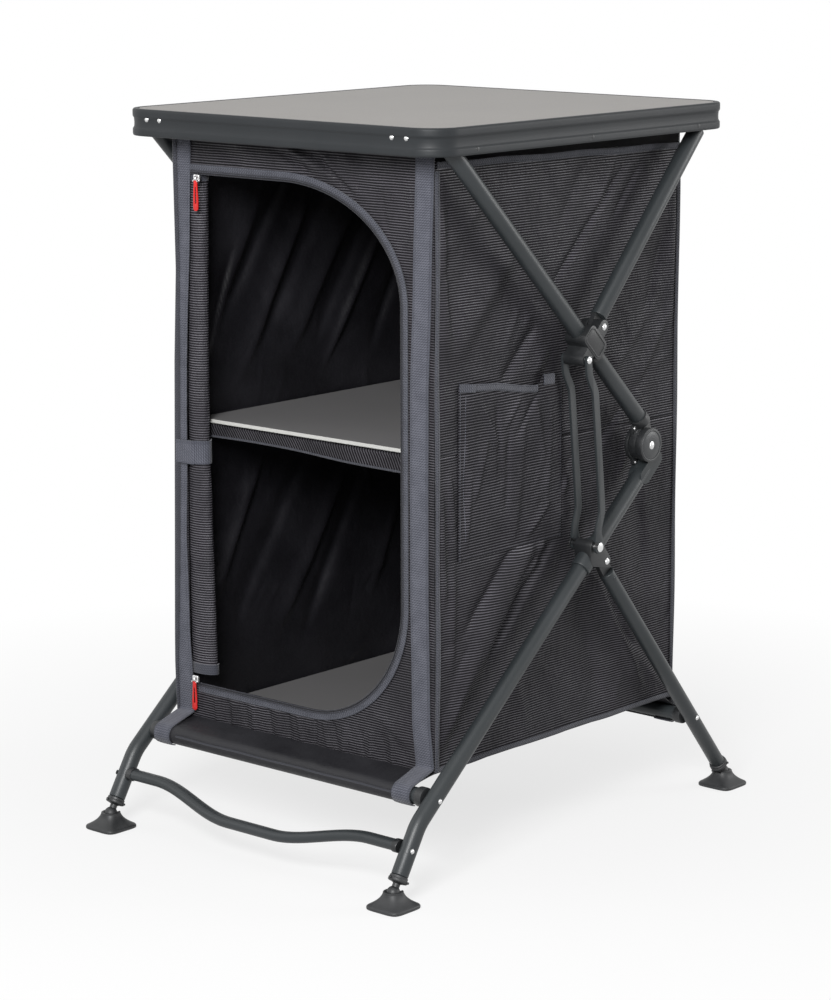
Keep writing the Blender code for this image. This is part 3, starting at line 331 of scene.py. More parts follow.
# Materials: a small builder round one shader
class Paint:
    def __init__(self, name):
        self.material = bpy.data.materials.new(name)
        self.material.use_nodes = True
        self.tree = self.material.node_tree
        self.shader = self.tree.nodes["Principled BSDF"]

    def node(self, kind, **values):
        made = self.tree.nodes.new(kind)
        for key, value in values.items():
            if key in made.inputs:
                made.inputs[key].default_value = value
            else:
                setattr(made, key, value)
        return made

    def join(self, source, target):
        self.tree.links.new(source, target)

    def set(self, **values):
        names = {"color": "Base Color", "rough": "Roughness", "metal": "Metallic",
                 "specular": "Specular IOR Level", "sheen": "Sheen Weight", "sheenRough": "Sheen Roughness",
                 "coat": "Coat Weight", "coatRough": "Coat Roughness"}
        for key, value in values.items():
            self.shader.inputs[names[key]].default_value = (*value, 1.0) if key == "color" else value
        return self

    def position(self, scale, fromUv=False):
        place = self.node("ShaderNodeTexCoord")
        mapping = self.node("ShaderNodeMapping")
        mapping.inputs["Scale"].default_value = scale
        self.join(place.outputs["UV" if fromUv else "Object"], mapping.inputs["Vector"])
        return mapping.outputs["Vector"]

    def noise(self, scale, detail, fromUv=False, stretch=(1, 1, 1), rough=0.55):
        made = self.node("ShaderNodeTexNoise", Scale=scale, Detail=detail, Roughness=rough)
        self.join(self.position(stretch, fromUv), made.inputs["Vector"])
        return made.outputs["Fac"]

    # The wave texture repeats 20 / 2 pi times per unit of its scale
    def wave(self, pitch, along):
        made = self.node("ShaderNodeTexWave", wave_type="BANDS", bands_direction=along, wave_profile="SIN",
                         Scale=1.0 / pitch / (20.0 / (2 * math.pi)), Distortion=0.0)
        self.join(self.position((1, 1, 1), True), made.inputs["Vector"])
        return made.outputs["Fac"]

    def grey(self, source, low, high, start=0.0, end=1.0):
        made = self.node("ShaderNodeMapRange")
        made.inputs["From Min"].default_value, made.inputs["From Max"].default_value = start, end
        made.inputs["To Min"].default_value, made.inputs["To Max"].default_value = low, high
        self.join(source, made.inputs["Value"])
        return made.outputs["Result"]

    def math(self, kind, a, b=0.0):
        made = self.node("ShaderNodeMath", operation=kind)
        for value, target in ((a, made.inputs[0]), (b, made.inputs[1])):
            if isinstance(value, (int, float)):
                target.default_value = value
            else:
                self.join(value, target)
        return made.outputs[0]

    def mix(self, share, a, b):
        made = self.node("ShaderNodeMix", data_type="RGBA")
        self.join(share, made.inputs["Factor"])
        for value, target in ((a, made.inputs[6]), (b, made.inputs[7])):
            if isinstance(value, tuple):
                target.default_value = (*value, 1.0)
            else:
                self.join(value, target)
        return made.outputs[2]

    # Each bump works on top of the one before
    def bump(self, height, distance, strength):
        made = self.node("ShaderNodeBump", Distance=distance, Strength=strength)
        self.join(height, made.inputs["Height"])
        before = self.shader.inputs["Normal"].links
        if before:
            self.join(before[0].from_socket, made.inputs["Normal"])
        self.join(made.outputs["Normal"], self.shader.inputs["Normal"])
        return self

    def paint(self, color, rough=None):
        self.join(color, self.shader.inputs["Base Color"])
        if rough is not None:
            self.join(rough, self.shader.inputs["Roughness"])
        return self


finishes = {
    "tubeColor": (0.021, 0.025, 0.027), "tubeDust": (0.028, 0.032, 0.035),
    "rimColor": (0.0155, 0.0178, 0.0200), "rimDust": (0.0195, 0.0218, 0.0240),
    "panelColor": (0.150, 0.136, 0.122), "panelFleck": (0.175, 0.159, 0.143),
    "plasticColor": (0.012, 0.013, 0.014), "plasticWorn": (0.022, 0.023, 0.025),
    "ribDark": (0.0120, 0.0115, 0.0135), "ribLight": (0.126, 0.121, 0.137),
    "ribPitch": 0.0033, "liningColor": (0.0080, 0.0077, 0.0096),
    "webDark": (0.043, 0.046, 0.061), "webLight": (0.108, 0.112, 0.138),
    "boardColor": (0.146, 0.143, 0.145), "boardEdge": (0.52, 0.52, 0.50),
    "metalColor": (0.72, 0.72, 0.72), "pullColor": (0.55, 0.012, 0.010),
}


# Painted tube or rim
def coatedMetal(name, color, dust, rough, grain, specular=0.40):
    m = Paint(name)
    m.set(rough=rough, metal=0.0, specular=specular)
    cloud = m.noise(9.0, 3.0)
    fine = m.noise(grain, 2.0)
    m.paint(m.mix(m.grey(cloud, 0.0, 1.0, 0.35, 0.7), color, dust),
            m.grey(fine, rough - 0.05, rough + 0.07, 0.3, 0.7))
    m.bump(fine, 0.00012, 0.5)
    return m.material


def mouldedPlastic(name, color, worn, rough=0.42):
    m = Paint(name)
    m.set(specular=0.5)
    fine = m.noise(1400.0, 2.0)
    cloud = m.noise(35.0, 4.0)
    m.paint(m.mix(m.grey(cloud, 0.0, 1.0, 0.4, 0.75), color, worn),
            m.grey(cloud, rough - 0.06, rough + 0.12, 0.3, 0.7))
    m.bump(fine, 0.00010, 0.6)
    return m.material


# Ribs run across the cloth: a wave up the V direction in metres, broken by a fine warp across U.
# Both colours are painted paler on fold slopes that face the front lamp and darker on slopes turned from it,
# from a per-point share on the sheet: painted fold light and shade.
def ribbedCloth(name, dark, light, pitch, liftRough=0.44, shade=1.0):
    m = Paint(name)
    m.set(sheen=0.0)
    ribs = m.wave(pitch, "Y")
    warp = m.wave(0.0012, "X")
    cloud = m.noise(14.0, 4.0, fromUv=True)
    line = m.grey(ribs, 0.0, 1.0, 0.58, 0.95)
    broken = m.math("MULTIPLY", line, m.grey(warp, 0.62, 1.0))
    faded = m.math("MULTIPLY", broken, m.grey(cloud, 0.45, 1.0, 0.35, 0.65))
    # Painted fold light and shade: the sheet's per-point share from -1 to 1
    foldLit = m.node("ShaderNodeAttribute", attribute_name="relief").outputs["Fac"]
    foldLit = m.grey(foldLit, 0.0, 1.0, -1.0, 1.0)
    ground, pale = (m.mix(foldLit, *(tuple(c * shade * (1 + turn) for c in color) for turn in (-reach, reach)))
                    for color, reach in ((dark, 0.28), (light, 0.50)))
    m.paint(m.mix(faded, ground, pale), m.grey(line, liftRough + 0.16, liftRough - 0.10))
    m.join(m.grey(line, 0.06, 0.26), m.shader.inputs["Specular IOR Level"])
    m.bump(m.noise(9.0, 5.0, fromUv=True, stretch=(1.6, 1, 1), rough=0.6), 0.016, 0.55)
    m.bump(ribs, 0.0005, 0.5)
    m.bump(warp, 0.0001, 0.4)
    return m.material


# Plain woven cloth or thread
def smoothCloth(name, color, rough=0.42):
    m = Paint(name)
    m.set(specular=0.32)
    weave = m.math("MULTIPLY", m.wave(0.0009, "X"), m.wave(0.0009, "Y"))
    cloud = m.noise(10.0, 5.0, fromUv=True)
    m.paint(m.mix(m.grey(cloud, 0.0, 1.0, 0.35, 0.7), color, tuple(c * 1.6 for c in color)),
            m.grey(cloud, rough - 0.08, rough + 0.12, 0.3, 0.7))
    m.bump(cloud, 0.012, 0.5)
    m.bump(weave, 0.0001, 0.6)
    return m.material


# Woven band: diagonal twill from U plus V, and a darker selvedge near both edges of the UV strip
def webbingCloth(name, dark, light, width):
    m = Paint(name)
    m.set(rough=0.72, specular=0.3, sheen=0.25, sheenRough=0.5)
    split = m.node("ShaderNodeSeparateXYZ")
    m.join(m.position((1, 1, 1), True), split.inputs["Vector"])
    u, v = split.outputs["X"], split.outputs["Y"]
    diagonal = m.math("SINE", m.math("MULTIPLY", m.math("ADD", u, v), 2 * math.pi / 0.0040))
    weft = m.math("SINE", m.math("MULTIPLY", v, 2 * math.pi / 0.0031))
    cloud = m.noise(40.0, 3.0, fromUv=True)
    tone = m.math("ADD", m.math("MULTIPLY", diagonal, 0.22), m.math("MULTIPLY", weft, 0.26))
    tone = m.math("ADD", tone, m.math("MULTIPLY", cloud, 0.9))
    edge = m.math("ABSOLUTE", m.math("SUBTRACT", m.math("DIVIDE", u, width), 0.5))
    inside = m.grey(edge, 1.0, 0.45, 0.40, 0.44)
    m.paint(m.mix(m.math("MULTIPLY", m.grey(tone, 0.0, 1.0, 0.2, 0.75), inside), dark, light))
    m.bump(diagonal, 0.0002, 0.6)
    m.bump(weft, 0.00015, 0.5)
    return m.material


# Board or panel: a fine speck over a soft cloud
def flatBoard(name, color, fleck, rough, scale, coat=0.0):
    m = Paint(name)
    m.set(specular=0.45, coat=coat, coatRough=0.35)
    speck = m.noise(scale, 2.0)
    cloud = m.noise(6.0, 3.0)
    share = m.math("ADD", m.math("MULTIPLY", speck, 0.6), m.math("MULTIPLY", cloud, 0.4))
    m.paint(m.mix(m.grey(share, 0.0, 1.0, 0.35, 0.65), color, fleck),
            m.grey(speck, rough - 0.05, rough + 0.05, 0.3, 0.7))
    m.bump(speck, 0.00008, 0.5)
    return m.material


def shinyMetal(name, color, rough):
    m = Paint(name)
    m.set(metal=1.0)
    brushed = m.noise(220.0, 3.0, stretch=(1, 6, 1))
    m.paint(m.mix(m.grey(brushed, 0.0, 1.0, 0.3, 0.7), color, tuple(c * 0.85 for c in color)),
            m.grey(brushed, rough - 0.05, rough + 0.12, 0.3, 0.7))
    return m.material


def scaled(color, factor):
    return tuple(c * factor for c in color)


f = finishes
tubePaint = coatedMetal("tubePaint", f["tubeColor"], f["tubeDust"], 0.40, 900.0)
rimPaint = coatedMetal("rimPaint", f["rimColor"], f["rimDust"], 0.48, 700.0, 0.26)
blackPlastic = mouldedPlastic("blackPlastic", f["plasticColor"], f["plasticWorn"])
footPlastic = mouldedPlastic("footPlastic", (0.016, 0.017, 0.018), (0.030, 0.031, 0.033), 0.48)
discRim = mouldedPlastic("discRim", (0.028, 0.030, 0.032), (0.045, 0.047, 0.050), 0.36)
ribCloth = ribbedCloth("ribCloth", f["ribDark"], f["ribLight"], f["ribPitch"])
# The roll's cloth is the wall cloth painted half as bright again: painted light
rollCloth = ribbedCloth("rollCloth", f["ribDark"], f["ribLight"], f["ribPitch"], 0.5, 1.5)
pocketCloth = ribbedCloth("pocketCloth", f["ribDark"], f["ribLight"], 0.0036, 0.48, 1.05)
slingCloth = ribbedCloth("slingCloth", f["ribDark"], f["ribLight"], 0.0036, 0.5, 0.75)
floorCloth = smoothCloth("floorCloth", (0.010, 0.010, 0.012), 0.5)
lining = smoothCloth("lining", f["liningColor"])
thread = smoothCloth("thread", (0.028, 0.029, 0.036), 0.7)
paleThread = smoothCloth("paleThread", (0.10, 0.105, 0.125), 0.7)
blackCord = smoothCloth("blackCord", (0.008, 0.008, 0.010), 0.5)
webbing = webbingCloth("webbing", f["webDark"], f["webLight"], 0.0285)
bindingCloth = webbingCloth("bindingCloth", scaled(f["webDark"], 0.7), scaled(f["webLight"], 0.75), 0.010)
darkBinding = webbingCloth("darkBinding", (0.020, 0.021, 0.028), (0.050, 0.052, 0.066), 0.0064)
panelFinish = flatBoard("panelFinish", f["panelColor"], f["panelFleck"], 0.42, 900.0, 0.15)
boardFinish = flatBoard("boardFinish", f["boardColor"], scaled(f["boardColor"], 1.15), 0.55, 700.0)
boardEdge = flatBoard("boardEdge", f["boardEdge"], scaled(f["boardEdge"], 0.9), 0.6, 400.0)
shiny = shinyMetal("shiny", f["metalColor"], 0.25)
redPull = mouldedPlastic("redPull", f["pullColor"], scaled(f["pullColor"], 1.2), 0.35)
print("materials made")


# Gives a piece its finish and body, and hides the nodes it stands for
def dress(piece, material, body, slot, *nodes):
    if not isinstance(material, list):
        piece.data.materials.clear()
        material = [material]
    for one in material:
        piece.data.materials.append(one)
    if nodes:
        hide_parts(*nodes)
    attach(piece, body)
    return piece


# Gives a node of the frame that has no finer piece its finish
def dressNode(name, material):
    mesh = frame["nodes"][name].data
    mesh.materials.clear()
    mesh.materials.append(material)


# Painted tube of the frame
def framePiece(name, path, halfWide, halfHigh, body, *nodes, **shape):
    return dress(tubePiece(name, path, halfWide, halfHigh, **shape), tubePaint, body, "tube", *nodes)


# Small turned part
def fitting(name, profile, place, axis, count, body, finish=blackPlastic, slot="fitting"):
    return dress(turnedPiece(name, profile, place, axis, count), finish, body, slot)


folding = {"joint": "fold", "axis": (0, 0, 1), "anchor": (0, 0, 0.905), "keep": 0.21}


# Gives a piece of cloth its own copy of its mesh
def crumples(piece):
    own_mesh(piece)
    return piece


top = {"width": 0.541, "depth": 0.600, "height": 0.950, "corner": 0.042, "rim": 0.0347, "panel": 0.008}


# Rounded rectangle: the four corner arcs in turn, as points and outward directions
def roundedRectangle(width, depth, corner):
    points, outward = [], []
    for sx, sy, start in ((1, 1, 0), (-1, 1, 90), (-1, -1, 180), (1, -1, 270)):
        centre = np.array([sx * (width / 2 - corner), sy * (depth / 2 - corner)])
        a = np.radians(start + np.linspace(0, 90, 15))
        d = np.stack([np.cos(a), np.sin(a)], 1)
        points.append(centre + corner * d)
        outward.append(d)
    return np.vstack(points), np.vstack(outward)


# Closed profile with its corners rounded
def smoothProfile(corners):
    corners = np.asarray(corners, float)
    result = []
    n = len(corners)
    for i in range(n):
        before, here, after = corners[i - 1], corners[i], corners[(i + 1) % n]
        cut = min(0.0016, 0.42 * np.linalg.norm(before - here), 0.42 * np.linalg.norm(after - here))
        a, b = here + unit(before - here) * cut, here + unit(after - here) * cut
        t = np.linspace(0, 1, 4)[:, None]
        result.append((1 - t) ** 2 * a + 2 * t * (1 - t) * here + t ** 2 * b)
    return np.vstack(result)


# Table top: the bent rim and the panel that lies in it
def buildTop():
    rim = [(-0.0008, 0.0), (0.0, 0.0022), (0.0, 0.0088), (-0.0019, 0.0112), (-0.0022, 0.0165),
           (-0.0018, 0.0222), (0.0, 0.0248), (0.0, 0.0325), (-0.0014, 0.0347), (-0.0082, 0.0347),
           (-0.0082, 0.0262), (-0.0180, 0.0262), (-0.0180, 0.0240), (-0.0035, 0.0240), (-0.0035, 0.0020),
           (-0.0060, 0.0020), (-0.0060, 0.0)]
    profile = smoothProfile(rim)
    points, outward = roundedRectangle(top["width"], top["depth"], top["corner"])
    base = top["height"] - top["rim"]
    heights = np.broadcast_to(base + profile[None, :, 1:], (len(points), len(profile), 1))
    rings = np.concatenate([points[:, None, :] + outward[:, None, :] * profile[None, :, :1], heights], axis=2)
    piece = skinPiece("topRim", rings, closeRows=True, smoothAngle=45)
    dress(piece, rimPaint, "table_top", "rim", "top_rim")

    inset, edge = 0.0085, 0.0006
    levels = [(inset + edge, 0.0), (inset, edge), (inset, top["panel"] - edge), (inset + edge, top["panel"])]
    low = top["height"] - 0.0003 - top["panel"]
    rings = np.stack([np.column_stack([points - outward * shrink, np.full(len(points), low + z)])
                      for shrink, z in levels])
    piece = skinPiece("topPanel", rings, smoothAngle=40)
    dress(piece, panelFinish, "table_top", "top", "top_panel")


# Domed rivet: a low dome on a thin washer, on a face with the given outward direction
def rivet(name, place, axis, radius, body, finish=shiny, height=0.45):
    a = np.linspace(0, np.pi / 2, 6)[::-1]
    dome = [(radius * 0.86 * math.sin(x), 0.0006 + radius * height * math.cos(x)) for x in a]
    profile = [(radius, -0.0003), (radius, 0.0004), (radius * 0.92, 0.0006)] + dome
    piece = turnedPiece(name, profile, place, axis, 20, 30)
    return dress(piece, finish, body, "metal")


buildTop()
for number, x in enumerate((-0.221, -0.198, 0.198, 0.221)):
    rivet(f"frontRimRivet{number}", (x, -0.2985, 0.9370), (0, -1, 0), 0.0032, "table_top")
for label, sx in sides.items():
    for number, y in enumerate((-0.2245, 0.0, 0.2246)):
        rivet(f"{label}RimScrew{number}", (sx * 0.2700, y, 0.9222), (sx, 0, 0), 0.0030, "table_top",
              blackPlastic, 0.2)
for label in sides:
    for node in ("front_pivot_bracket_", "rear_rest_bracket_"):
        dressNode(node + label, blackPlastic)
print("table top built")


# The two X values, in order, of a span counted outwards from one side's plane of tubes
def xSpan(sx, inner, outer):
    return sorted((sx * (side["offset"] + inner), sx * (side["offset"] + outer)))


def onSide(sx, point, out=0.0):
    return inSpace(sx * (side["offset"] + out), point)


# Path through corner points with its inner corners rounded by an arc
def roundedPath(corners, radius):
    path = [corners[0]]
    for before, here, after in zip(corners, corners[1:], corners[2:]):
        a, b = unit(before - here), unit(after - here)
        half = math.acos(np.clip(a @ b, -1, 1)) / 2
        cut = radius / math.tan(half)
        centre = here + unit(a + b) * radius / math.sin(half)
        first, last = here + a * cut - centre, here + b * cut - centre
        turn = math.acos(np.clip(first @ last / radius ** 2, -1, 1))
        t = np.linspace(0, 1, 13)[:, None]
        path += list(centre + (np.sin((1 - t) * turn) * first + np.sin(t * turn) * last) / math.sin(turn))
    path.append(corners[-1])
    return np.array(path)


# Raised bead that runs round an outline on a side face
def beadPiece(name, outline, x, outward, half=0.0011, height=0.0007):
    outline = np.asarray(outline, float)
    ahead = unit(np.roll(outline, -1, 0) - np.roll(outline, 1, 0))
    normal = np.stack([-ahead[:, 1], ahead[:, 0]], 1)
    section = roundSection(half, height, 12, 2.4)
    places = outline[:, None, :] + normal[:, None, :] * section[None, :, :1]
    lift = x + outward * np.broadcast_to(section[None, :, 1:], (len(outline), len(section), 1))
    return skinPiece(name, np.concatenate([lift, places], axis=2), closeRows=True, smoothAngle=60)


# Points at even steps round a closed outline
def evenly(outline, count):
    closed = np.vstack([outline, outline[:1]])
    run = runAlong(closed)
    at = np.linspace(0, run[-1], count, endpoint=False)
    return np.stack([np.interp(at, run, closed[:, i]) for i in (0, 1)], 1)


upperTooth, legTooth = np.array([0.1223, 0.5326]), np.array([0.1302, 0.4863])
hubLooks = {"corner": 0.0075, "ear": 0.009, "collar": 0.014, "bevel": 0.0013, "inset": 0.0006,
            "inner": -0.015, "outer": 0.018, "slot": 0.0039, "rivet": 0.0043}


def buildUpperFrame(label, sx):
    h = hubLooks
    body = "upper_frame_" + label
    path = [onSide(sx, frontPivot - upperDown * 0.004), onSide(sx, upperKneeFoot - upperDown * 0.022)]
    framePiece("upperFrontTube" + label, path, side["tube"], side["tube"], body, "upper_front_tube_" + label)
    collar = outlineAround([(upperHub + upperDown * u + upperNormal * v, h["corner"])
                            for u in (-0.0145, 0.0145) for v in (-0.0065, 0.0065)])
    ears = outlineAround([(rearTubePivot, h["ear"]), (strutPivot, h["ear"] - 0.0005)])
    slot = plainPlate(localBox(upperHub, upperDown, upperNormal, -0.06, 0.06, 0.0118, 0.06),
                      *xSpan(sx, -h["slot"], h["slot"]))
    hub = combine("upperHub" + label,
                  [plainPlate(collar, *xSpan(sx, h["inner"], h["outer"])),
                   plainPlate(ears, *xSpan(sx, h["inner"] + h["inset"], h["outer"] - h["inset"]))],
                  [slot], h["bevel"])
    dress(hub, blackPlastic, body, "fitting", "upper_hub_" + label)
    ring = [(0.0112, 0.0), (0.0130, 0.0004), (0.0134, 0.0016), (0.0134, 0.0068), (0.0129, 0.0080),
            (0.0112, 0.0084)]
    place = onSide(sx, upperHub + upperDown * 0.0215)
    fitting("hubBarrel" + label, ring, place, inSpace(0, upperDown), 40, body)
    bead = evenly(outlineAround([(upperHub + upperDown * u * 0.84 + upperNormal * v * 0.7, 0.0052)
                                 for u in (-0.0160, 0.0160) for v in (-0.0080, 0.0080)]), 96)
    bead = beadPiece("hubBead" + label, bead, sx * (side["offset"] + h["outer"]), sx)
    dress(bead, blackPlastic, body, "fitting")
    for name, place in (("hubRearRivet", rearTubePivot), ("hubStrutBoss", strutPivot)):
        rivet(name + label, onSide(sx, place, h["outer"] - h["inset"]), (sx, 0, 0), h["rivet"], body)

    corners = [(knee, 0.020)] + [(upperKneeFoot - upperDown * 0.0205 + upperNormal * v, 0.001)
                                 for v in (-0.010, 0.010)]
    ear = outlineAround([(knee, 0.0150), (upperTooth, 0.0048)], 48)
    lug = combine("kneeInnerDisc" + label,
                  [plainPlate(outlineAround(corners, 64), *xSpan(sx, -0.0055, 0.0055)),
                   plainPlate(ear, *xSpan(sx, -0.0055, -0.0018))])
    dress(lug, blackPlastic, body, "fitting", "knee_inner_disc_" + label)
    rivet("upperToothRivet" + label, onSide(sx, upperTooth, -0.0018), (sx, 0, 0), 0.0027, body)
    cap = [(0.0106, -0.0035), (0.0124, -0.0030), (0.0129, 0.0), (0.0126, 0.0085), (0.0112, 0.0095)]
    place = onSide(sx, upperKneeFoot - upperDown * 0.0300)
    fitting("kneeCollar" + label, cap, place, inSpace(0, upperDown), 40, body)

    body = "rear_tube_" + label
    path = [onSide(sx, rearTubePivot + rearUp * 0.014), onSide(sx, rearTubeTop)]
    framePiece("upperRearTube" + label, path, side["tube"], side["tube"], body, "upper_rear_tube_" + label,
               turn=0.0008)
    dressNode("rear_tube_tongue_" + label, blackPlastic)


def buildLeg(label, sx):
    h = hubLooks
    corners = [legKneeFoot + legDown * 0.017, legBend, frontBall - shinDown * 0.022]
    path = np.array([onSide(sx, p) for p in roundedPath(corners, 0.060)])
    framePiece("frontLeg" + label, path, side["tube"], side["tube"], "front_legs", "front_leg_" + label)

    forkGap = plainRod(onSide(sx, knee, -0.0061), onSide(sx, knee, 0.0061), 0.0245, 64)
    ear = outlineAround([(knee, 0.0150), (legTooth, 0.0048)], 48)
    fork = combine("kneeOuterDisc" + label,
                   [plainPlate(outlineAround([(knee, 0.0225)], 72), *xSpan(sx, -0.0108, 0.0165)),
                    plainPlate(ear, *xSpan(sx, -0.0102, -0.0062))], [forkGap])
    dress(fork, blackPlastic, "front_legs", "fitting", "knee_outer_disc_" + label)
    neckGap = plainRod(onSide(sx, knee, -0.0058), onSide(sx, knee, 0.0058), 0.0218, 64)
    radius = side["tube"] - 0.0002
    neck = outlineAround([(legKneeFoot + legDown * run, radius) for run in (-0.002, 0.0290)])
    neck = combine("kneeNeck" + label, [plainPlate(neck, *xSpan(sx, -side["tube"] + 0.0004, radius))],
                   [neckGap], 0.0048, 4)
    dress(neck, tubePaint, "front_legs", "tube")
    rim = beadPiece("kneeRim" + label, evenly(outlineAround([(knee, 0.0198)], 72), 90),
                    sx * (side["offset"] + 0.0165), sx, 0.0012, 0.0008)
    dress(rim, discRim, "front_legs", "fitting")
    disc = [(0.0001, 0.0), (0.0178, 0.0), (0.0182, 0.0005), (0.0176, 0.0009), (0.0090, 0.0011),
            (0.0001, 0.0012)]
    fitting("kneeDiscFace" + label, disc, onSide(sx, knee, 0.0162), (sx, 0, 0), 48, "front_legs", discRim)
    rivet("kneeRivet" + label, onSide(sx, knee, 0.0170), (sx, 0, 0), 0.0052, "front_legs", height=0.3)
    rivet("legToothRivet" + label, onSide(sx, legTooth, -0.0060), (sx, 0, 0), 0.0027, "front_legs")

    shell = side["tube"] + 0.0024
    clampEnds = [onSide(sx, lowerHub - legDown * 0.0100), onSide(sx, lowerHub + legDown * 0.0340)]
    ears = outlineAround([(rearLegPivot, h["ear"] - 0.0005), (strutStud, h["ear"] - 0.001),
                          (lowerHub, 0.0095), (lowerHub + legDown * 0.014 - legNormal * 0.001, 0.0100)])
    slot = plainPlate(localBox(lowerHub, legDown, legNormal, -0.06, 0.06, -0.06, -0.0118),
                      *xSpan(sx, -h["slot"], h["slot"]))
    hub = combine("lowerHub" + label, [plainPlate(ears, *xSpan(sx, -0.0139, 0.0139))], [slot], h["bevel"])
    dress(hub, blackPlastic, "front_legs", "fitting", "lower_hub_" + label)
    framePiece("lowerClamp" + label, clampEnds, shell, shell, "front_legs")
    rivet("lowerHubRivet" + label, onSide(sx, rearLegPivot, 0.0139), (sx, 0, 0), h["rivet"], "front_legs")
    stud = [(0.0035, 0.0), (0.0035, 0.0082), (0.0058, 0.0084), (0.0060, 0.0092), (0.0048, 0.0098),
            (0.0001, 0.0100)]
    for name, out, away, finish in (("hookStud", 0.0140, sx, shiny),
                                    ("hookStudInner", -0.0145, -sx, blackPlastic)):
        place = onSide(sx, strutStud, out)
        fitting(name + label, stud, place, (away, 0, 0), 24, "front_legs", finish, "metal")

    path = [onSide(sx, rearLegPivot + rearDown * 0.024), onSide(sx, rearBall - rearDown * 0.022)]
    framePiece("rearLeg" + label, path, side["tube"], 0.0095, "rear_legs", "rear_leg_" + label)
    dressNode("rear_leg_tongue_" + label, blackPlastic)
    for name, place, radius, body, finish in (
            ("rearLegTopRivet", rearLegPivot + rearDown * 0.034, 0.003, "rear_legs", tubePaint),
            ("legRivet0", (-0.2844, 0.1210), 0.0033, "front_legs", shiny),
            ("legRivet1", (-0.3365, 0.0692), 0.0033, "front_legs", shiny),
            ("rearBarRivet", rearBar, 0.0033, "rear_legs", shiny)):
        rivet(name + label, onSide(sx, place, side["tube"] - 0.0004), (sx, 0, 0), radius, body, finish)


strutLooks = {"half": 0.0055, "hook": 0.0085, "jog": 0.0105, "jogStart": 0.022, "jogEnd": 0.050,
              "thick": 0.0035, "inner": -0.0164, "outer": 0.0184, "slotHalf": 0.0040, "exit": 155.5}


# Locking strut: two flat bars whose middle part is set back, each with a hook open towards the front
def buildStrut(label, sx):
    k = strutLooks
    down = unit(strutStud - strutPivot)
    back = leftOf(down)
    length = np.linalg.norm(strutStud - strutPivot)
    along = np.linspace(0, 1, 60) * length
    first, last = k["jogStart"] * 0.7, k["jogStart"] * 0.8
    setBack = k["jog"] * np.minimum(ease((along - first) / (k["jogEnd"] - first)),
                                    ease((length - last - along) / (k["jogEnd"] - last)))
    middle = strutPivot + along[:, None] * down + setBack[:, None] * back
    normal = unit(np.stack([-np.gradient(middle[:, 1]), np.gradient(middle[:, 0])], 1))
    turn = np.radians(np.linspace(0, 180, 17))[1:-1, None]
    start = strutPivot + k["half"] * (np.cos(turn) * back - np.sin(turn) * down)
    end = strutStud + k["hook"] * (np.cos(np.pi - turn) * back + np.sin(turn) * down)
    wide = np.interp(along, [length - 0.020, length - 0.004], [k["half"], k["hook"]])[:, None]
    outline = np.vstack([start, (middle - normal * wide), end, (middle + normal * wide)[::-1]])
    away = heading(k["exit"])
    for name, low, *nodes in (("Outer", k["outer"], "locking_strut_" + label),
                              ("Inner", k["inner"] - k["thick"])):
        xLow, xHigh = xSpan(sx, low, low + k["thick"])
        slot = plainPlate(localBox(strutStud, away, leftOf(away), 0.0, 0.03, -k["slotHalf"], k["slotHalf"]),
                          xLow - 0.01, xHigh + 0.01)
        hole = plainRod((xLow - 0.01, *strutStud), (xHigh + 0.01, *strutStud), k["slotHalf"])
        bar = combine("strut" + name + label, [plainPlate(outline, xLow, xHigh)], [slot, hole], 0.0007)
        dress(bar, tubePaint, "strut_" + label, "tube", *nodes)
    for name, out, away in (("strutRivet", k["outer"] + k["thick"], sx),
                            ("strutInnerRivet", k["inner"] - k["thick"], -sx)):
        rivet(name + label, onSide(sx, strutPivot, out), (away, 0, 0), 0.0046, "strut_" + label)


for label, sx in sides.items():
    buildUpperFrame(label, sx)
    buildLeg(label, sx)
    buildStrut(label, sx)
print("side frames built")


barLooks = {"reach": 0.2395, "front": 0.0105, "rear": 0.0095, "braceWide": 0.0092, "braceHigh": 0.0070,
            "braceY": -0.3330, "braceZ": 0.0705, "bow": 0.0186, "dip": 0.0223, "middle": 0.040,
            "runOut": 0.188}


# Scales a finished mesh about the point (0, 0, 0) that it was built round, then moves it to a place
def moved(piece, scale, place):
    points = np.empty(len(piece.data.vertices) * 3)
    piece.data.vertices.foreach_get("co", points)
    points = (points.reshape(-1, 3) - topMiddle) * np.asarray(scale) + np.asarray(place) + topMiddle
    piece.data.vertices.foreach_set("co", points.ravel())
    piece.data.update()


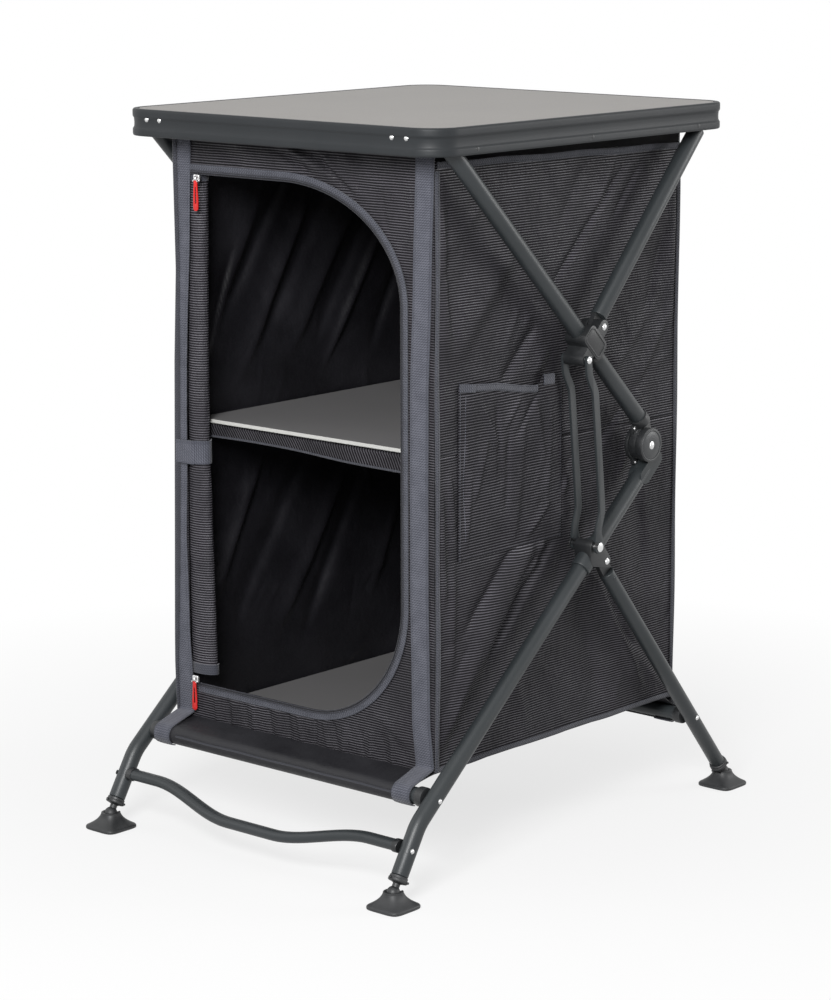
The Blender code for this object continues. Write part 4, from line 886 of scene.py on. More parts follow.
# The two bars that carry the floor cloth, in end cups, and the brace that bows forward and down
def buildCrossBars():
    b = barLooks
    for name, body, point, radius, node in (
            ("frontFabricBar", "front_legs", frontBar, b["front"], "front_fabric_bar"),
            ("rearFabricBar", "rear_legs", rearBar, b["rear"], "rear_fabric_bar")):
        path = [inSpace(-b["reach"], point), inSpace(b["reach"], point)]
        framePiece(name, path, radius, radius, body, node, reference=(0, 0, 1))
        for label, sx in sides.items():
            cup = [(radius + 0.0004, 0.0), (radius + 0.0021, 0.0006), (radius + 0.0024, 0.0020),
                   (radius + 0.0024, 0.0105), (radius + 0.0018, 0.0120), (radius + 0.0002, 0.0124)]
            place = inSpace(sx * (b["reach"] + 0.0005), point)
            fitting(name + "Cup" + label, cup, place, (-sx, 0, 0), 36, body)
    x = np.linspace(-b["reach"], b["reach"], 65)
    share = 1 - ease((np.abs(x) - b["middle"]) / (b["runOut"] - b["middle"]))
    path = np.column_stack([x, b["braceY"] - b["bow"] * share, b["braceZ"] - b["dip"] * share])
    framePiece("curvedBrace", path, b["braceHigh"], b["braceWide"], "front_legs", "curved_brace",
               reference=(0, 0, 1), power=2.3)
    plug = [(0.0001, 0.0), (0.0104, 0.0), (0.0108, 0.0006), (0.0108, 0.0080), (0.0098, 0.0088),
            (0.0001, 0.0088)]
    for label, sx in sides.items():
        piece = turnedPiece("bracePlug" + label, plug, (0, 0, 0), (-sx, 0, 0), 36)
        moved(piece, (1, 1, 0.80), (sx * (b["reach"] + 0.0006), b["braceY"], b["braceZ"]))
        dress(piece, blackPlastic, "front_legs", "fitting")


footLooks = {"half": 0.027, "height": 0.022, "ball": 0.0088, "hole": 0.0092, "neck": 0.0048, "collar": 0.0125,
             "top": 0.0128, "slot": 0.0056, "ballZ": 0.020}


# Foot: a square sole that rounds off upwards into a socket, and the ball stud in the leg's end
def buildFoot(end, label, sx, ball, down, legBody):
    k = footLooks
    name = f"{end}_foot_{label}"
    count = 96
    t = 2 * np.pi * (np.arange(count) + 0.5) / count
    c, w = np.abs(np.cos(t)), np.abs(np.sin(t))

    def ring(radius, z, power):
        reach = radius / (c ** power + w ** power) ** (1 / power)
        return np.column_stack([reach * np.cos(t), reach * np.sin(t), np.full(count, z)])

    half, top = k["half"], k["top"]
    levels = [ring(half - inset, z, power) for inset, z, power in (
        (0.0012, 0.0, 5.2), (0.0003, 0.0004, 5.2), (0.0, 0.0012, 5.2), (0.0, 0.0034, 5.2),
        (0.0004, 0.0043, 5.1))]
    for u in np.linspace(0, 1, 13):
        levels.append(ring(top + (half - 0.0009 - top) * (1 - u) ** 2.1,
                           0.0048 + (k["height"] - 0.0014 - 0.0048) * u, 5.0 - 3.0 * u))
    levels += [ring(top + 0.0001, k["height"] - 0.0006, 2.0), ring(top - 0.0006, k["height"], 2.0)]
    mouth = math.atan2(k["height"] - k["ballZ"], k["hole"])
    levels.append(ring(k["hole"] * math.cos(mouth) + 0.0008, k["height"], 2.0))
    for a in np.linspace(mouth, -math.pi / 2, 10)[1:-1]:
        levels.append(ring(k["hole"] * math.cos(a), k["ballZ"] + k["hole"] * math.sin(a), 2.0))
    centre = np.array([sx * side["offset"], ball[0], 0.0])
    sole = skinPiece(name + "Sole", np.array(levels) + centre, smoothAngle=0)
    lean = 1 if down[0] < 0 else -1
    slot = localBox(ball, heading(0.0 if lean > 0 else 180.0), heading(90.0), 0.0, 0.03, -0.0006, 0.02)
    sole = combine(name + "Sole", [sole], [plainPlate(slot, *xSpan(sx, -k["slot"], k["slot"]))], bevel=0)
    dress(sole, footPlastic, name + "_sole", "fitting", name)

    axis = inSpace(0, -down)
    neckAngle = math.pi - math.asin(k["neck"] / k["ball"])
    a = np.linspace(0, neckAngle, 16)
    profile = [(k["ball"] * math.sin(x), -k["ball"] * math.cos(x)) for x in a]
    profile += [(k["neck"], 0.0118), (0.0072, 0.0128), (0.0112, 0.0136), (k["collar"] - 0.0004, 0.0140),
                (k["collar"], 0.0146), (k["collar"], 0.0178), (k["collar"] - 0.0005, 0.0184),
                (0.0117, 0.0186), (0.0117, 0.0211), (0.0110, 0.0217), (0.0082, 0.0218), (0.0082, 0.0340),
                (0.0001, 0.0342)]
    stud = turnedPiece(name + "Stud", profile, onSide(sx, ball), axis, 56, 40)
    dress(stud, footPlastic, legBody, "fitting", name + "_stud")
    tab = [(0.0009, 0.0), (0.0015, 0.0003), (0.0016, 0.0022), (0.0011, 0.0028), (0.0001, 0.0029)]
    across, upright = np.array([1.0, 0, 0]), np.cross(axis, [1.0, 0, 0])
    for turn in (20, 140, 260):
        angle = math.radians(turn)
        out = math.cos(angle) * across + math.sin(angle) * upright
        fitting(f"{name}Tab{turn}", tab, onSide(sx, ball) + axis * 0.0162 + out * 0.0121, out, 12, legBody,
                footPlastic)


buildCrossBars()
for label, sx in sides.items():
    buildFoot("front", label, sx, frontBall, shinDown, "front_legs")
    buildFoot("rear", label, sx, rearBall, rearDown, "rear_legs")
print("cross bars and feet built")


# Cabinet cloth. A sheet is a grid of middle points; folds lift both of its sides together.
cabinet = {"half": 0.222, "front": -0.248, "rear": 0.248, "bottom": 0.1403, "frontTop": 0.911,
           "topFront": 0.905, "topRear": 0.897, "seamFront": 0.541, "seamRear": 0.531, "thick": 0.0014}


# Height of soft creases at (u, v); each is (u0, v0, u1, v1, width, height) and fades towards its ends
def creaseHeight(u, v, creases, fade=0.3, lean=0.0):
    rows = np.asarray(creases, float)
    start, along = rows[:, :2], rows[:, 2:4] - rows[:, :2]
    length = np.linalg.norm(along, axis=1)
    du, dv = np.asarray(u)[..., None] - start[:, 0], np.asarray(v)[..., None] - start[:, 1]
    share = (du * along[:, 0] + dv * along[:, 1]) / length ** 2
    off = (du * along[:, 1] - dv * along[:, 0]) / length
    taper = ease(share / fade) * ease((1 - share) / fade)
    wide = rows[:, 4] * np.where(off > 0, 1 + lean, 1 - lean)
    return (rows[:, 5] * taper * np.exp(-np.abs(off / wide) ** 1.6)).sum(-1)


# Small seeded creases that fill a sheet between low and high corners, most of them along one angle
def scatteredCreases(seed, count, low, high, angle, spread, lengths, widths, heights):
    draw = np.random.default_rng(seed)
    middle = draw.uniform(low, high, (count, 2))
    turn = np.radians(draw.normal(angle, spread, count))
    half = draw.uniform(*lengths, count)[:, None] / 2 * np.stack([np.cos(turn), np.sin(turn)], 1)
    return np.column_stack([middle - half, middle + half, draw.uniform(*widths, count),
                            draw.uniform(*heights, count)])


# Keeps folds between low and high without a hard stop
def heldWithin(height, low, high):
    return np.where(height > 0, high * np.tanh(height / high), low * np.tanh(height / low))


# Unit directions square to a grid of points
def gridNormals(middle, closeRows):
    if closeRows:
        down = np.roll(middle, -1, 0) - np.roll(middle, 1, 0)
    else:
        down = np.gradient(middle, axis=0)
    return unit(np.cross(down, np.gradient(middle, axis=1)) + 1e-12)


# Cloth with an outer side (first material), an inner side (second) and closed edges
def clothPiece(name, middle, uv, thick, outward, closeRows=False, relief=None):
    middle = np.asarray(middle, float)
    rows, columns = middle.shape[:2]
    normals = gridNormals(middle, closeRows)
    if (normals @ np.asarray(outward, float)).mean() < 0:
        normals = -normals
    points = np.concatenate([(middle + normals * thick / 2).reshape(-1, 3),
                             (middle - normals * thick / 2).reshape(-1, 3)])
    total = rows * columns
    outer = gridQuads(rows, columns, closeRows, False)
    index = np.arange(total).reshape(rows, columns)
    if closeRows:
        loops = [index[:, 0], index[:, -1]]
    else:
        loops = [np.concatenate([index[0, :-1], index[:-1, -1], index[-1, :0:-1], index[:0:-1, 0]])]
    edges = np.concatenate([np.stack([loop, np.roll(loop, -1), np.roll(loop, -1) + total, loop + total], 1)
                            for loop in loops])
    faces = np.concatenate([outer, outer[:, ::-1] + total, edges])
    piece = makePiece(name, points, faces, np.concatenate([np.asarray(uv).reshape(-1, 2)] * 2), 70)
    kind = np.zeros(len(faces), int)
    kind[len(outer):2 * len(outer)] = 1
    piece.data.polygons.foreach_set("material_index", kind)
    # Per-point share of painted fold light and shade, for the ribbed cloth's colours
    if relief is not None:
        layer = piece.data.attributes.new("relief", "FLOAT", "POINT")
        layer.data.foreach_set("value", np.tile(relief.ravel(), 2).astype(np.float32))
    facingOut(piece)
    return piece


# Sheet of cloth with its outer and inner finish
def hangSheet(piece, outer, inner, *nodes, slot="cloth", keep=folding["keep"]):
    return crumples(dress(piece, [outer, inner], "table_top", slot, *nodes))


# From -1 to 1: painted fold light, high where a wall's folds slope to face the front and up towards the lamps
# and low where they face away
def paintedFoldLight(folds, u, v):
    acrossWall = np.gradient(folds, axis=1) / np.gradient(u, axis=1)
    upWall = np.gradient(folds, axis=0) / np.gradient(v, axis=0)
    return np.tanh(1.6 * (acrossWall - 0.8 * upWall))


# Strip along a path: across is the direction of its width, out the side that it shows
def stripGrid(path, across, width, out, crown, columns):
    path, out = np.asarray(path, float), np.asarray(out, float)
    across = unit(np.broadcast_to(np.asarray(across, float), path.shape))
    out = np.broadcast_to(out, path.shape)
    t = np.linspace(-0.5, 0.5, columns)
    width = np.broadcast_to(np.asarray(width, float), (len(path),))
    middle = (path[:, None] + across[:, None] * (t[None, :, None] * width[:, None, None]) +
              out[:, None] * (crown * (1 - (2 * t) ** 4))[None, :, None])
    run = np.broadcast_to(runAlong(path)[:, None], (len(path), columns))
    uv = np.stack([(t[None, :] + 0.5) * width[:, None], run], -1)
    return middle, uv


# Strip of webbing or binding along a line
def bandPiece(name, line, across, width, out, crown, thick, finish, *nodes, facing=None, columns=9):
    middle, uv = stripGrid(line, across, width, out, crown, columns)
    piece = clothPiece(name, middle, uv, thick, out if facing is None else facing)
    return hangSheet(piece, finish, finish, *nodes, slot="webbing")


stitch = {"pitch": 0.0034, "length": 0.0021, "half": 0.00028, "lift": 0.0003}


# Row of stitches that lie along a path on a surface that faces out
def stitchRow(name, path, out, finish=thread):
    path = resampled(path, stitch["pitch"])
    ahead = unit(np.gradient(path, axis=0))
    out = unit(np.broadcast_to(np.asarray(out, float), path.shape))
    across = np.cross(out, ahead)
    corners = np.array([(-0.5, -1, -1), (0.5, -1, -1), (0.5, 1, -1), (-0.5, 1, -1),
                        (-0.42, -0.6, 1), (0.42, -0.6, 1), (0.42, 0.6, 1), (-0.42, 0.6, 1)])
    points = (path[:, None] + ahead[:, None] * (corners[:, 0] * stitch["length"])[None, :, None] +
              across[:, None] * (corners[:, 1] * stitch["half"])[None, :, None] +
              out[:, None] * (corners[:, 2] * stitch["lift"])[None, :, None])
    box = np.array([(3, 2, 1, 0), (4, 5, 6, 7), (0, 1, 5, 4), (1, 2, 6, 5), (2, 3, 7, 6), (3, 0, 4, 7)])
    faces = (np.arange(len(path))[:, None, None] * 8 + box[None]).reshape(-1, 4)
    piece = makePiece(name, points, faces, smoothAngle=0)
    return crumples(dress(piece, finish, "table_top", "webbing"))


# A wall's grid in its own (u, v): v rises along straight lines from the floor through the seam to the top
def wallPlane(uLow, uHigh, columns, rowsBelow, rowsAbove):
    c = cabinet
    u = np.linspace(uLow, uHigh, columns)
    share = (u - c["front"]) / (c["rear"] - c["front"])
    seam = c["seamFront"] + (c["seamRear"] - c["seamFront"]) * share
    high = c["topFront"] + (c["topRear"] - c["topFront"]) * share
    near = np.array([-0.003, -0.0014, -0.0005, 0.0, 0.0005, 0.0014, 0.003])
    below = np.linspace(0, 1, rowsBelow)[:-1, None]
    above = np.linspace(0, 1, rowsAbove)[1:, None]
    v = np.vstack([c["bottom"] + (seam - 0.003 - c["bottom"]) * below, seam + near[:, None],
                   seam + 0.003 + (high - seam - 0.003) * above])
    return np.broadcast_to(u, v.shape), v, seam


# Folds that show on the right wall, as (u0, v0, u1, v1, width, height)
rightFolds = [
    (0.152, 0.892, -0.042, 0.712, 0.0045, -0.0034), (0.120, 0.905, 0.060, 0.800, 0.0090, 0.0022),
    (0.175, 0.885, 0.100, 0.800, 0.0050, -0.0020), (0.060, 0.895, -0.010, 0.800, 0.0110, -0.0018),
    (-0.080, 0.800, -0.240, 0.640, 0.0240, 0.0046), (-0.045, 0.690, -0.130, 0.605, 0.0070, -0.0042),
    (-0.020, 0.665, -0.110, 0.560, 0.0110, 0.0030), (0.210, 0.700, 0.090, 0.590, 0.0130, 0.0032),
    (0.225, 0.800, 0.170, 0.640, 0.0110, -0.0034), (0.205, 0.610, 0.060, 0.500, 0.0090, -0.0028),
    (0.240, 0.690, 0.150, 0.560, 0.0080, 0.0024), (0.190, 0.560, 0.110, 0.450, 0.0070, 0.0022),
    (0.024, 0.482, -0.100, 0.392, 0.0080, 0.0034), (-0.022, 0.458, -0.208, 0.215, 0.0150, 0.0082),
    (-0.140, 0.330, -0.238, 0.160, 0.0090, 0.0050), (-0.002, 0.415, -0.160, 0.255, 0.0075, -0.0054),
    (-0.060, 0.440, -0.200, 0.300, 0.0070, -0.0040), (0.024, 0.495, -0.078, 0.335, 0.0070, 0.0046),
    (-0.020, 0.405, -0.130, 0.330, 0.0045, -0.0028), (-0.222, 0.530, -0.205, 0.400, 0.0045, 0.0034),
    (-0.236, 0.520, -0.228, 0.330, 0.0050, 0.0030), (-0.212, 0.420, -0.216, 0.250, 0.0060, 0.0026),
    (0.070, 0.350, 0.190, 0.150, 0.0085, 0.0032), (0.120, 0.260, 0.235, 0.150, 0.0070, 0.0026),
    (0.095, 0.330, 0.170, 0.210, 0.0060, -0.0026), (0.030, 0.330, 0.100, 0.160, 0.0130, -0.0028),
    (-0.100, 0.260, -0.060, 0.150, 0.0110, 0.0022), (0.150, 0.520, 0.200, 0.260, 0.0150, -0.0030),
    (0.235, 0.880, 0.232, 0.600, 0.0070, 0.0028), (-0.236, 0.880, -0.225, 0.640, 0.0080, 0.0028),
]


# Folds of the left wall, whose inner side shows through the door
leftFolds = [
    (0.215, 0.860, 0.020, 0.560, 0.0050, -0.0060), (0.190, 0.880, 0.000, 0.590, 0.0130, 0.0050),
    (0.150, 0.880, -0.060, 0.575, 0.0140, -0.0050), (0.090, 0.885, -0.110, 0.600, 0.0180, 0.0046),
    (0.030, 0.860, -0.140, 0.570, 0.0110, -0.0052), (-0.020, 0.880, -0.180, 0.640, 0.0120, 0.0040),
    (-0.080, 0.860, -0.210, 0.600, 0.0150, -0.0040), (0.220, 0.760, 0.120, 0.580, 0.0090, 0.0040),
    (-0.140, 0.780, -0.215, 0.560, 0.0070, 0.0034), (0.170, 0.520, -0.030, 0.180, 0.0120, 0.0050),
    (0.120, 0.500, -0.080, 0.200, 0.0100, -0.0050), (0.020, 0.500, -0.160, 0.230, 0.0140, 0.0044),
    (-0.080, 0.500, -0.200, 0.260, 0.0090, -0.0040), (0.220, 0.460, 0.120, 0.220, 0.0110, -0.0036),
]


# Small creases on every wall: step of the seed, count, angle, spread, lengths, widths, heights
smallFolds = [
    (0, 90, 52, 22, (0.02, 0.09), (0.0024, 0.0070), (-0.0016, 0.0016)),
    (1, 60, 12, 40, (0.012, 0.04), (0.0016, 0.0035), (-0.0006, 0.0006)),
]


# Height of a wall's folds; they fade at its edges and where it is calm, and the seam is a groove with a lip
def wallFolds(u, v, seam, creases, seed, calm=0.0):
    folds = 1.7 * creaseHeight(u, v, creases, lean=0.35)
    for step, count, *rest in smallFolds:
        small = scatteredCreases(seed + step, count, (-0.24, 0.15), (0.24, 0.89), *rest)
        folds = folds + creaseHeight(u, v, small)
    folds = folds + 0.0022 * np.sin(9 * u + 13 * v + seed) * np.sin(17 * u - 7 * v)
    edge = ease((u - cabinet["front"]) / 0.014) * ease((cabinet["rear"] - u) / 0.014)
    edge = edge * ease((v - cabinet["bottom"]) / 0.015) * ease((cabinet["topRear"] + 0.004 - v) / 0.015)
    groove = -0.0011 * np.exp(-((v - seam) / 0.0010) ** 2)
    lip = 0.0005 * np.exp(-((v - seam - 0.0025) / 0.0012) ** 2)
    return folds * (1 - calm) * edge + (groove + lip)


# Side wall: folds stand out of its plane both ways, and lie flatter behind the pocket
def buildSideWall(label, sx):
    c = cabinet
    u, v, seam = wallPlane(c["front"] + 0.0021, c["rear"] - 0.0021, 150, 112, 100)
    if sx > 0:
        calm = (0.85 * ease((u + 0.216) / 0.01) * ease((0.012 - u) / 0.01) *
                ease((v - 0.395) / 0.012) * ease((0.63 - v) / 0.012))
        folds = wallFolds(u, v, seam, rightFolds, 11, calm)
    else:
        folds = wallFolds(u, v, seam, leftFolds, 23)
    folds = heldWithin(folds, -0.0120, 0.0088)
    x = sx * (c["half"] - c["thick"] / 2 - 0.0001 + folds)
    # The wall's ribbed colours get painted fold light and shade from its folds
    piece = clothPiece(label + "Wall", np.stack([x, u, v], -1), np.stack([u, v], -1), c["thick"], (sx, 0, 0),
                       relief=paintedFoldLight(folds, u, v))
    hangSheet(piece, ribCloth, lining, label + "_wall")
    face = sx * (c["half"] + 0.0006)
    for name, front, rear, width, finish in (
            ("TopBinding", c["topFront"] - 0.0042, c["topRear"] - 0.0042, 0.0078, bindingCloth),
            ("BottomBinding", c["bottom"] + 0.0036, c["bottom"] + 0.0036, 0.0062, darkBinding)):
        line = resampled([(face, c["front"] + 0.004, front), (face, c["rear"], rear)], 0.006)
        line[:, 0] += sx * 0.0005 * np.sin(70 * line[:, 1] + 1.3 * sx)
        line[:, 2] += 0.0007 * np.sin(41 * line[:, 1])
        bandPiece(label + name, line, (0, 0, 1), width, (sx, 0, 0), 0.0007, 0.0014, finish)
        stitchRow(label + name + "Stitches", line + np.array([sx * 0.0015, 0, -0.0022]), (sx, 0, 0))
    z = np.linspace(c["bottom"] + 0.002, c["topRear"] - 0.003, 130)
    for name, y, width, finish, sway in (("FrontBinding", c["front"] + 0.0040, 0.0072, bindingCloth, 0.0012),
                                         ("RearBinding", c["rear"] - 0.0020, 0.0064, darkBinding, 0.0008)):
        line = np.column_stack([np.full(130, face + sx * 0.0004),
                                y + sway * np.sin(19 * z + 2) * np.sin(7 * z), z])
        wide = width + 0.0010 * np.sin(23 * z + 1.1)
        bandPiece(label + name, line, (0, 1, 0), wide, (sx, 0, 0), 0.0008, 0.0015, finish)
        stitchRow(label + name + "Stitches", line + np.array([sx * 0.0017, 0.0, 0.0]), (sx, 0, 0))
    stitches = np.column_stack([np.full(60, face + sx * 0.0003),
                                np.linspace(c["front"] + 0.01, c["rear"] - 0.01, 60),
                                np.linspace(c["seamFront"], c["seamRear"], 60) + 0.0042])
    stitchRow(label + "SeamStitches", stitches, (sx, 0, 0))


backFolds = [
    (0.05, 0.88, -0.12, 0.60, 0.016, 0.0055), (0.16, 0.86, 0.02, 0.58, 0.011, -0.0045),
    (-0.02, 0.86, -0.18, 0.62, 0.012, -0.005), (0.19, 0.84, 0.10, 0.60, 0.012, 0.005),
    (0.09, 0.80, -0.01, 0.575, 0.007, 0.003), (-0.10, 0.84, -0.16, 0.70, 0.008, 0.004),
    (-0.05, 0.50, -0.17, 0.28, 0.012, 0.006), (0.03, 0.48, -0.10, 0.24, 0.009, -0.005),
    (-0.13, 0.50, -0.20, 0.38, 0.007, 0.004), (0.16, 0.44, 0.05, 0.20, 0.015, 0.003),
]


# Back wall: the same cloth, reaching 10 mm higher behind the rim
def buildBackWall():
    c = cabinet
    u, v, seam = wallPlane(-c["half"], c["half"], 140, 100, 90)
    v = c["bottom"] + (v - c["bottom"]) * (c["topRear"] + 0.010 - c["bottom"]) / (v.max(0) - c["bottom"])
    folds = wallFolds(u, v, seam, backFolds, 37)
    y = c["rear"] - c["thick"] / 2 - 0.0002 + heldWithin(folds, -0.0120, 0.0045)
    piece = clothPiece("backWall", np.stack([u, y, v], -1), np.stack([u, v], -1), c["thick"], (0, 1, 0))
    hangSheet(piece, ribCloth, lining, "back_wall")
    y, z = c["rear"] + 0.0006, c["topRear"] - 0.0042
    line = resampled([(-c["half"], y, z), (c["half"], y, z)], 0.006)
    bandPiece("backTopBinding", line, (0, 0, 1), 0.0078, (0, 1, 0), 0.0007, 0.0014, bindingCloth)


door = {"left": -0.1925, "openingLeft": -0.209, "right": 0.1797, "bottom": 0.1755, "top": 0.8785,
        "topRadius": 0.155, "topReach": 0.208, "bottomRadius": 0.170, "band": 0.012}


# Door outline as (X, Z), from the upper left round the right side to the lower left
def doorOutline(inset, left, steps=60):
    d = door
    top, bottom, right = d["top"] - inset, d["bottom"] + inset, d["right"] - inset
    a = np.radians(np.linspace(90, 0, steps))[:, None]
    reach, radius = np.array([d["topReach"], d["topRadius"]]) - inset, d["bottomRadius"] - inset
    upper = np.array([right, top]) - reach + reach * np.hstack([np.cos(a), np.sin(a)])
    a = a[::-1]
    lower = np.array([right - radius, bottom + radius]) + radius * np.hstack([np.cos(a), -np.sin(a)])
    return np.vstack([[left, top], upper, lower, [left, bottom]])


frontFolds = [
    (-0.060, 0.915, 0.030, 0.872, 0.0050, -0.0030), (-0.038, 0.918, 0.080, 0.866, 0.0055, 0.0030),
    (0.005, 0.916, 0.100, 0.850, 0.0045, -0.0028), (0.030, 0.910, 0.120, 0.845, 0.0060, 0.0026),
    (0.132, 0.875, 0.148, 0.800, 0.0040, -0.0020), (-0.160, 0.905, -0.090, 0.885, 0.0110, -0.0022),
    (0.060, 0.905, 0.170, 0.860, 0.0080, 0.0022), (0.180, 0.900, 0.186, 0.780, 0.0050, 0.0016),
    (0.150, 0.800, 0.187, 0.640, 0.0050, 0.0014), (0.120, 0.205, 0.185, 0.165, 0.0060, 0.0018),
]


# Points (X, Z) set at one depth on the front
def onFront(points, y):
    return np.column_stack([points[:, 0], np.full(len(points), y), points[:, 1]])


# Front panel: a ring of cloth whose rows run from the door's edge out to the panel's.
# Both edges are cut into four parts, at the corners and at the middles of the door's arcs.
def buildFrontPanel():
    c = cabinet
    hole = doorOutline(door["band"], door["openingLeft"])
    low, high, half = c["bottom"], c["frontTop"], c["half"]
    counts = (150, 190, 150, 130)
    run = runAlong(hole)
    arc = (len(hole) - 2) // 2
    marks = [0, run[1 + arc // 2], run[1 + arc + arc // 2], run[-1]]
    inner, outer = [], []
    corners = [(-half, high), (half, high), (half, low), (-half, low), (-half, high)]
    for part in range(4):
        t = np.linspace(0, 1, counts[part], endpoint=False)[:, None]
        outer.append(np.array(corners[part]) * (1 - t) + np.array(corners[part + 1]) * t)
        if part < 3:
            at = marks[part] + (marks[part + 1] - marks[part]) * t[:, 0]
            inner.append(np.stack([np.interp(at, run, hole[:, i]) for i in (0, 1)], 1))
        else:
            inner.append(hole[-1] * (1 - t) + hole[0] * t)
    inner, outer = np.vstack(inner), np.vstack(outer)
    share = np.linspace(0, 1, 40)[None, :, None]
    plane = inner[:, None] * (1 - share) + outer[:, None] * share
    x, z = plane[..., 0], plane[..., 1]
    fromDoor = np.broadcast_to(np.linalg.norm(outer - inner, axis=1)[:, None] * share[..., 0], x.shape)
    free = (ease((fromDoor - 0.012) / 0.008) * ease((0.189 - x) / 0.006) *
            ease((high - z) / 0.012) * ease((z - low + 0.004) / 0.006))
    draw = np.random.default_rng(5)
    count = 17
    at = np.linspace(-0.165, 0.150, count) + draw.uniform(-0.006, 0.006, count)
    gathers = np.column_stack([at, np.full(count, 0.180), at + draw.uniform(-0.004, 0.012, count),
                               np.full(count, 0.132), draw.uniform(0.0028, 0.0055, count),
                               draw.uniform(0.0010, 0.0026, count) * np.where(np.arange(count) % 2, -1, 1)])
    small = scatteredCreases(8, 60, (-0.2, 0.15), (0.2, 0.9), -35, 30, (0.02, 0.06), (0.002, 0.004),
                             (-0.0007, 0.0007))
    folds = creaseHeight(x, z, frontFolds) + creaseHeight(x, z, gathers, fade=0.2) + creaseHeight(x, z, small)
    folds = heldWithin(1.6 * folds, -0.0060, 0.0060) * free + 0.0004 * np.sin(13 * z + 5 * x)
    y = c["front"] + c["thick"] / 2 - folds
    piece = clothPiece("frontPanel", np.stack([x, y, z], -1), np.stack([x, z], -1), c["thick"], (0, -1, 0),
                       closeRows=True)
    hangSheet(piece, ribCloth, lining, "front_panel")


# Zip band: webbing and tape round the door, the zip's coil and cord, and two rows of stitches
def buildZipBand():
    base = cabinet["front"] - 0.0011
    for name, inset, width, crown, finish, y, *nodes in (
            ("zipWebbing", 0.0038, 0.0082, 0.0004, bindingCloth, base, "zip_tape"),
            ("zipTape", 0.0098, 0.0046, 0.0003, darkBinding, base + 0.0003)):
        path = resampled(doorOutline(inset, door["left"], 90), 0.0035)
        ahead = unit(np.gradient(path, axis=0))
        across = np.column_stack([ahead[:, 1], np.zeros(len(path)), -ahead[:, 0]])
        bandPiece(name, onFront(path, y), across, width, (0, -1, 0), crown, 0.0012, finish, *nodes)
    for name, inset, radius, step, bead in (("zipCoil", 0.0106, 0.0009, 0.0016, 0.28),
                                            ("zipCord", 0.0079, 0.0005, 0.0035, 0.0)):
        line = onFront(resampled(doorOutline(inset, door["left"], 90), step), base - 0.0004)
        scale = 1 + bead * (np.arange(len(line)) % 2)
        rings = carriedRings(line, roundSection(radius, radius, 8), (0, 1, 0), scale)
        cord = skinPiece(name, rings, smoothAngle=80)
        crumples(dress(cord, blackCord, "table_top", "webbing"))
    for name, inset, finish in (("zipStitches11", 0.0012, paleThread), ("zipStitches66", 0.0066, thread)):
        line = onFront(doorOutline(inset, door["left"], 90), base - 0.0010)
        stitchRow(name, line, (0, -1, 0), finish)


# Front corners by height: the middle and width of the webbing, and of the hem that laps its left edge
leftCorner = {"heights": [0.150, 0.170, 0.210, 0.250, 0.380, 0.620, 0.740, 0.900],
              "webbing": [-0.2158, -0.2178, -0.2190, -0.2208, -0.2206, -0.2155, -0.2093, -0.2065],
              "webbingWide": [0.0285, 0.0285, 0.0285, 0.0257, 0.0199, 0.0197, 0.0212, 0.0285],
              "hem": [-0.2300, -0.2310, -0.2315, -0.2301, -0.2257, -0.2208, -0.2170, -0.2192],
              "hemWide": [0.0030, 0.0040, 0.0050, 0.0070, 0.0097, 0.0090, 0.0058, 0.0065],
              "hemOut": 0.0031}
rightCorner = {"heights": [0.140, 0.200, 0.400, 0.620, 0.800, 0.900],
               "webbing": [0.2073, 0.2010, 0.1975, 0.1985, 0.2045, 0.2080],
               "webbingWide": [0.0295] * 6}


# Webbing in front: down the corner, forward over the flap, and round the front bar
def buildFrontWebbing(label, sx):
    c = cabinet
    out = c["front"] - 0.0011
    barRadius = barLooks["front"] + 0.0031
    bend = np.array([out, 0.1462])
    touch = frontBar + barRadius * heading(104.0)
    around = np.array([frontBar + barRadius * heading(a) for a in np.linspace(104, 262, 22)])
    straight = np.column_stack([np.full(110, out), np.linspace(c["topFront"] + 0.018, bend[1] + 0.003, 110)])
    t = np.linspace(0, 1, 7)[1:-1, None]
    first, last = np.array([out, bend[1] + 0.003]), bend + unit(touch - bend) * 0.004
    turn = (1 - t) ** 2 * first + 2 * t * (1 - t) * bend + t ** 2 * last
    slope = last + (touch - last) * np.linspace(0, 1, 12)[:, None]
    path = np.vstack([straight, turn, slope[:-1], around])
    z = path[:, 1]
    corner = leftCorner if sx < 0 else rightCorner
    x = np.interp(z, corner["heights"], corner["webbing"])
    wide = np.interp(z, corner["heights"], corner["webbingWide"])
    line = np.column_stack([x, path])
    ahead = unit(np.gradient(line, axis=0))
    outs = unit(np.cross(np.broadcast_to([1.0, 0, 0], line.shape), ahead))
    outs = outs if outs[0, 1] < 0 else -outs
    wave = 0.0005 * np.sin(31 * z + sx) * np.sin(11 * z)
    line = line + outs * wave[:, None]
    bandPiece(label + "FrontWebbing", line, (1, 0, 0), wide, outs, 0.0005, 0.0014, webbing,
              "front_webbing_" + label, facing=(0, -1, 0))
    sewn = slice(6, -16)
    for edge in (-1, 1):
        aside = np.column_stack([edge * (wide[sewn] / 2 - 0.0032), np.zeros((len(wide[sewn]), 2))])
        stitchRow(f"{label}FrontWebbingStitches{edge}", line[sewn] + aside + outs[sewn] * 0.0010, outs[60])
    z = np.linspace(c["bottom"] + 0.01, c["topFront"] - 0.006, 120)
    edge = np.column_stack([np.full(120, sx * 0.2216), np.full(120, c["front"] - 0.0006), z])
    stitchRow(label + "CornerStitches", edge, (0, -1, 0))


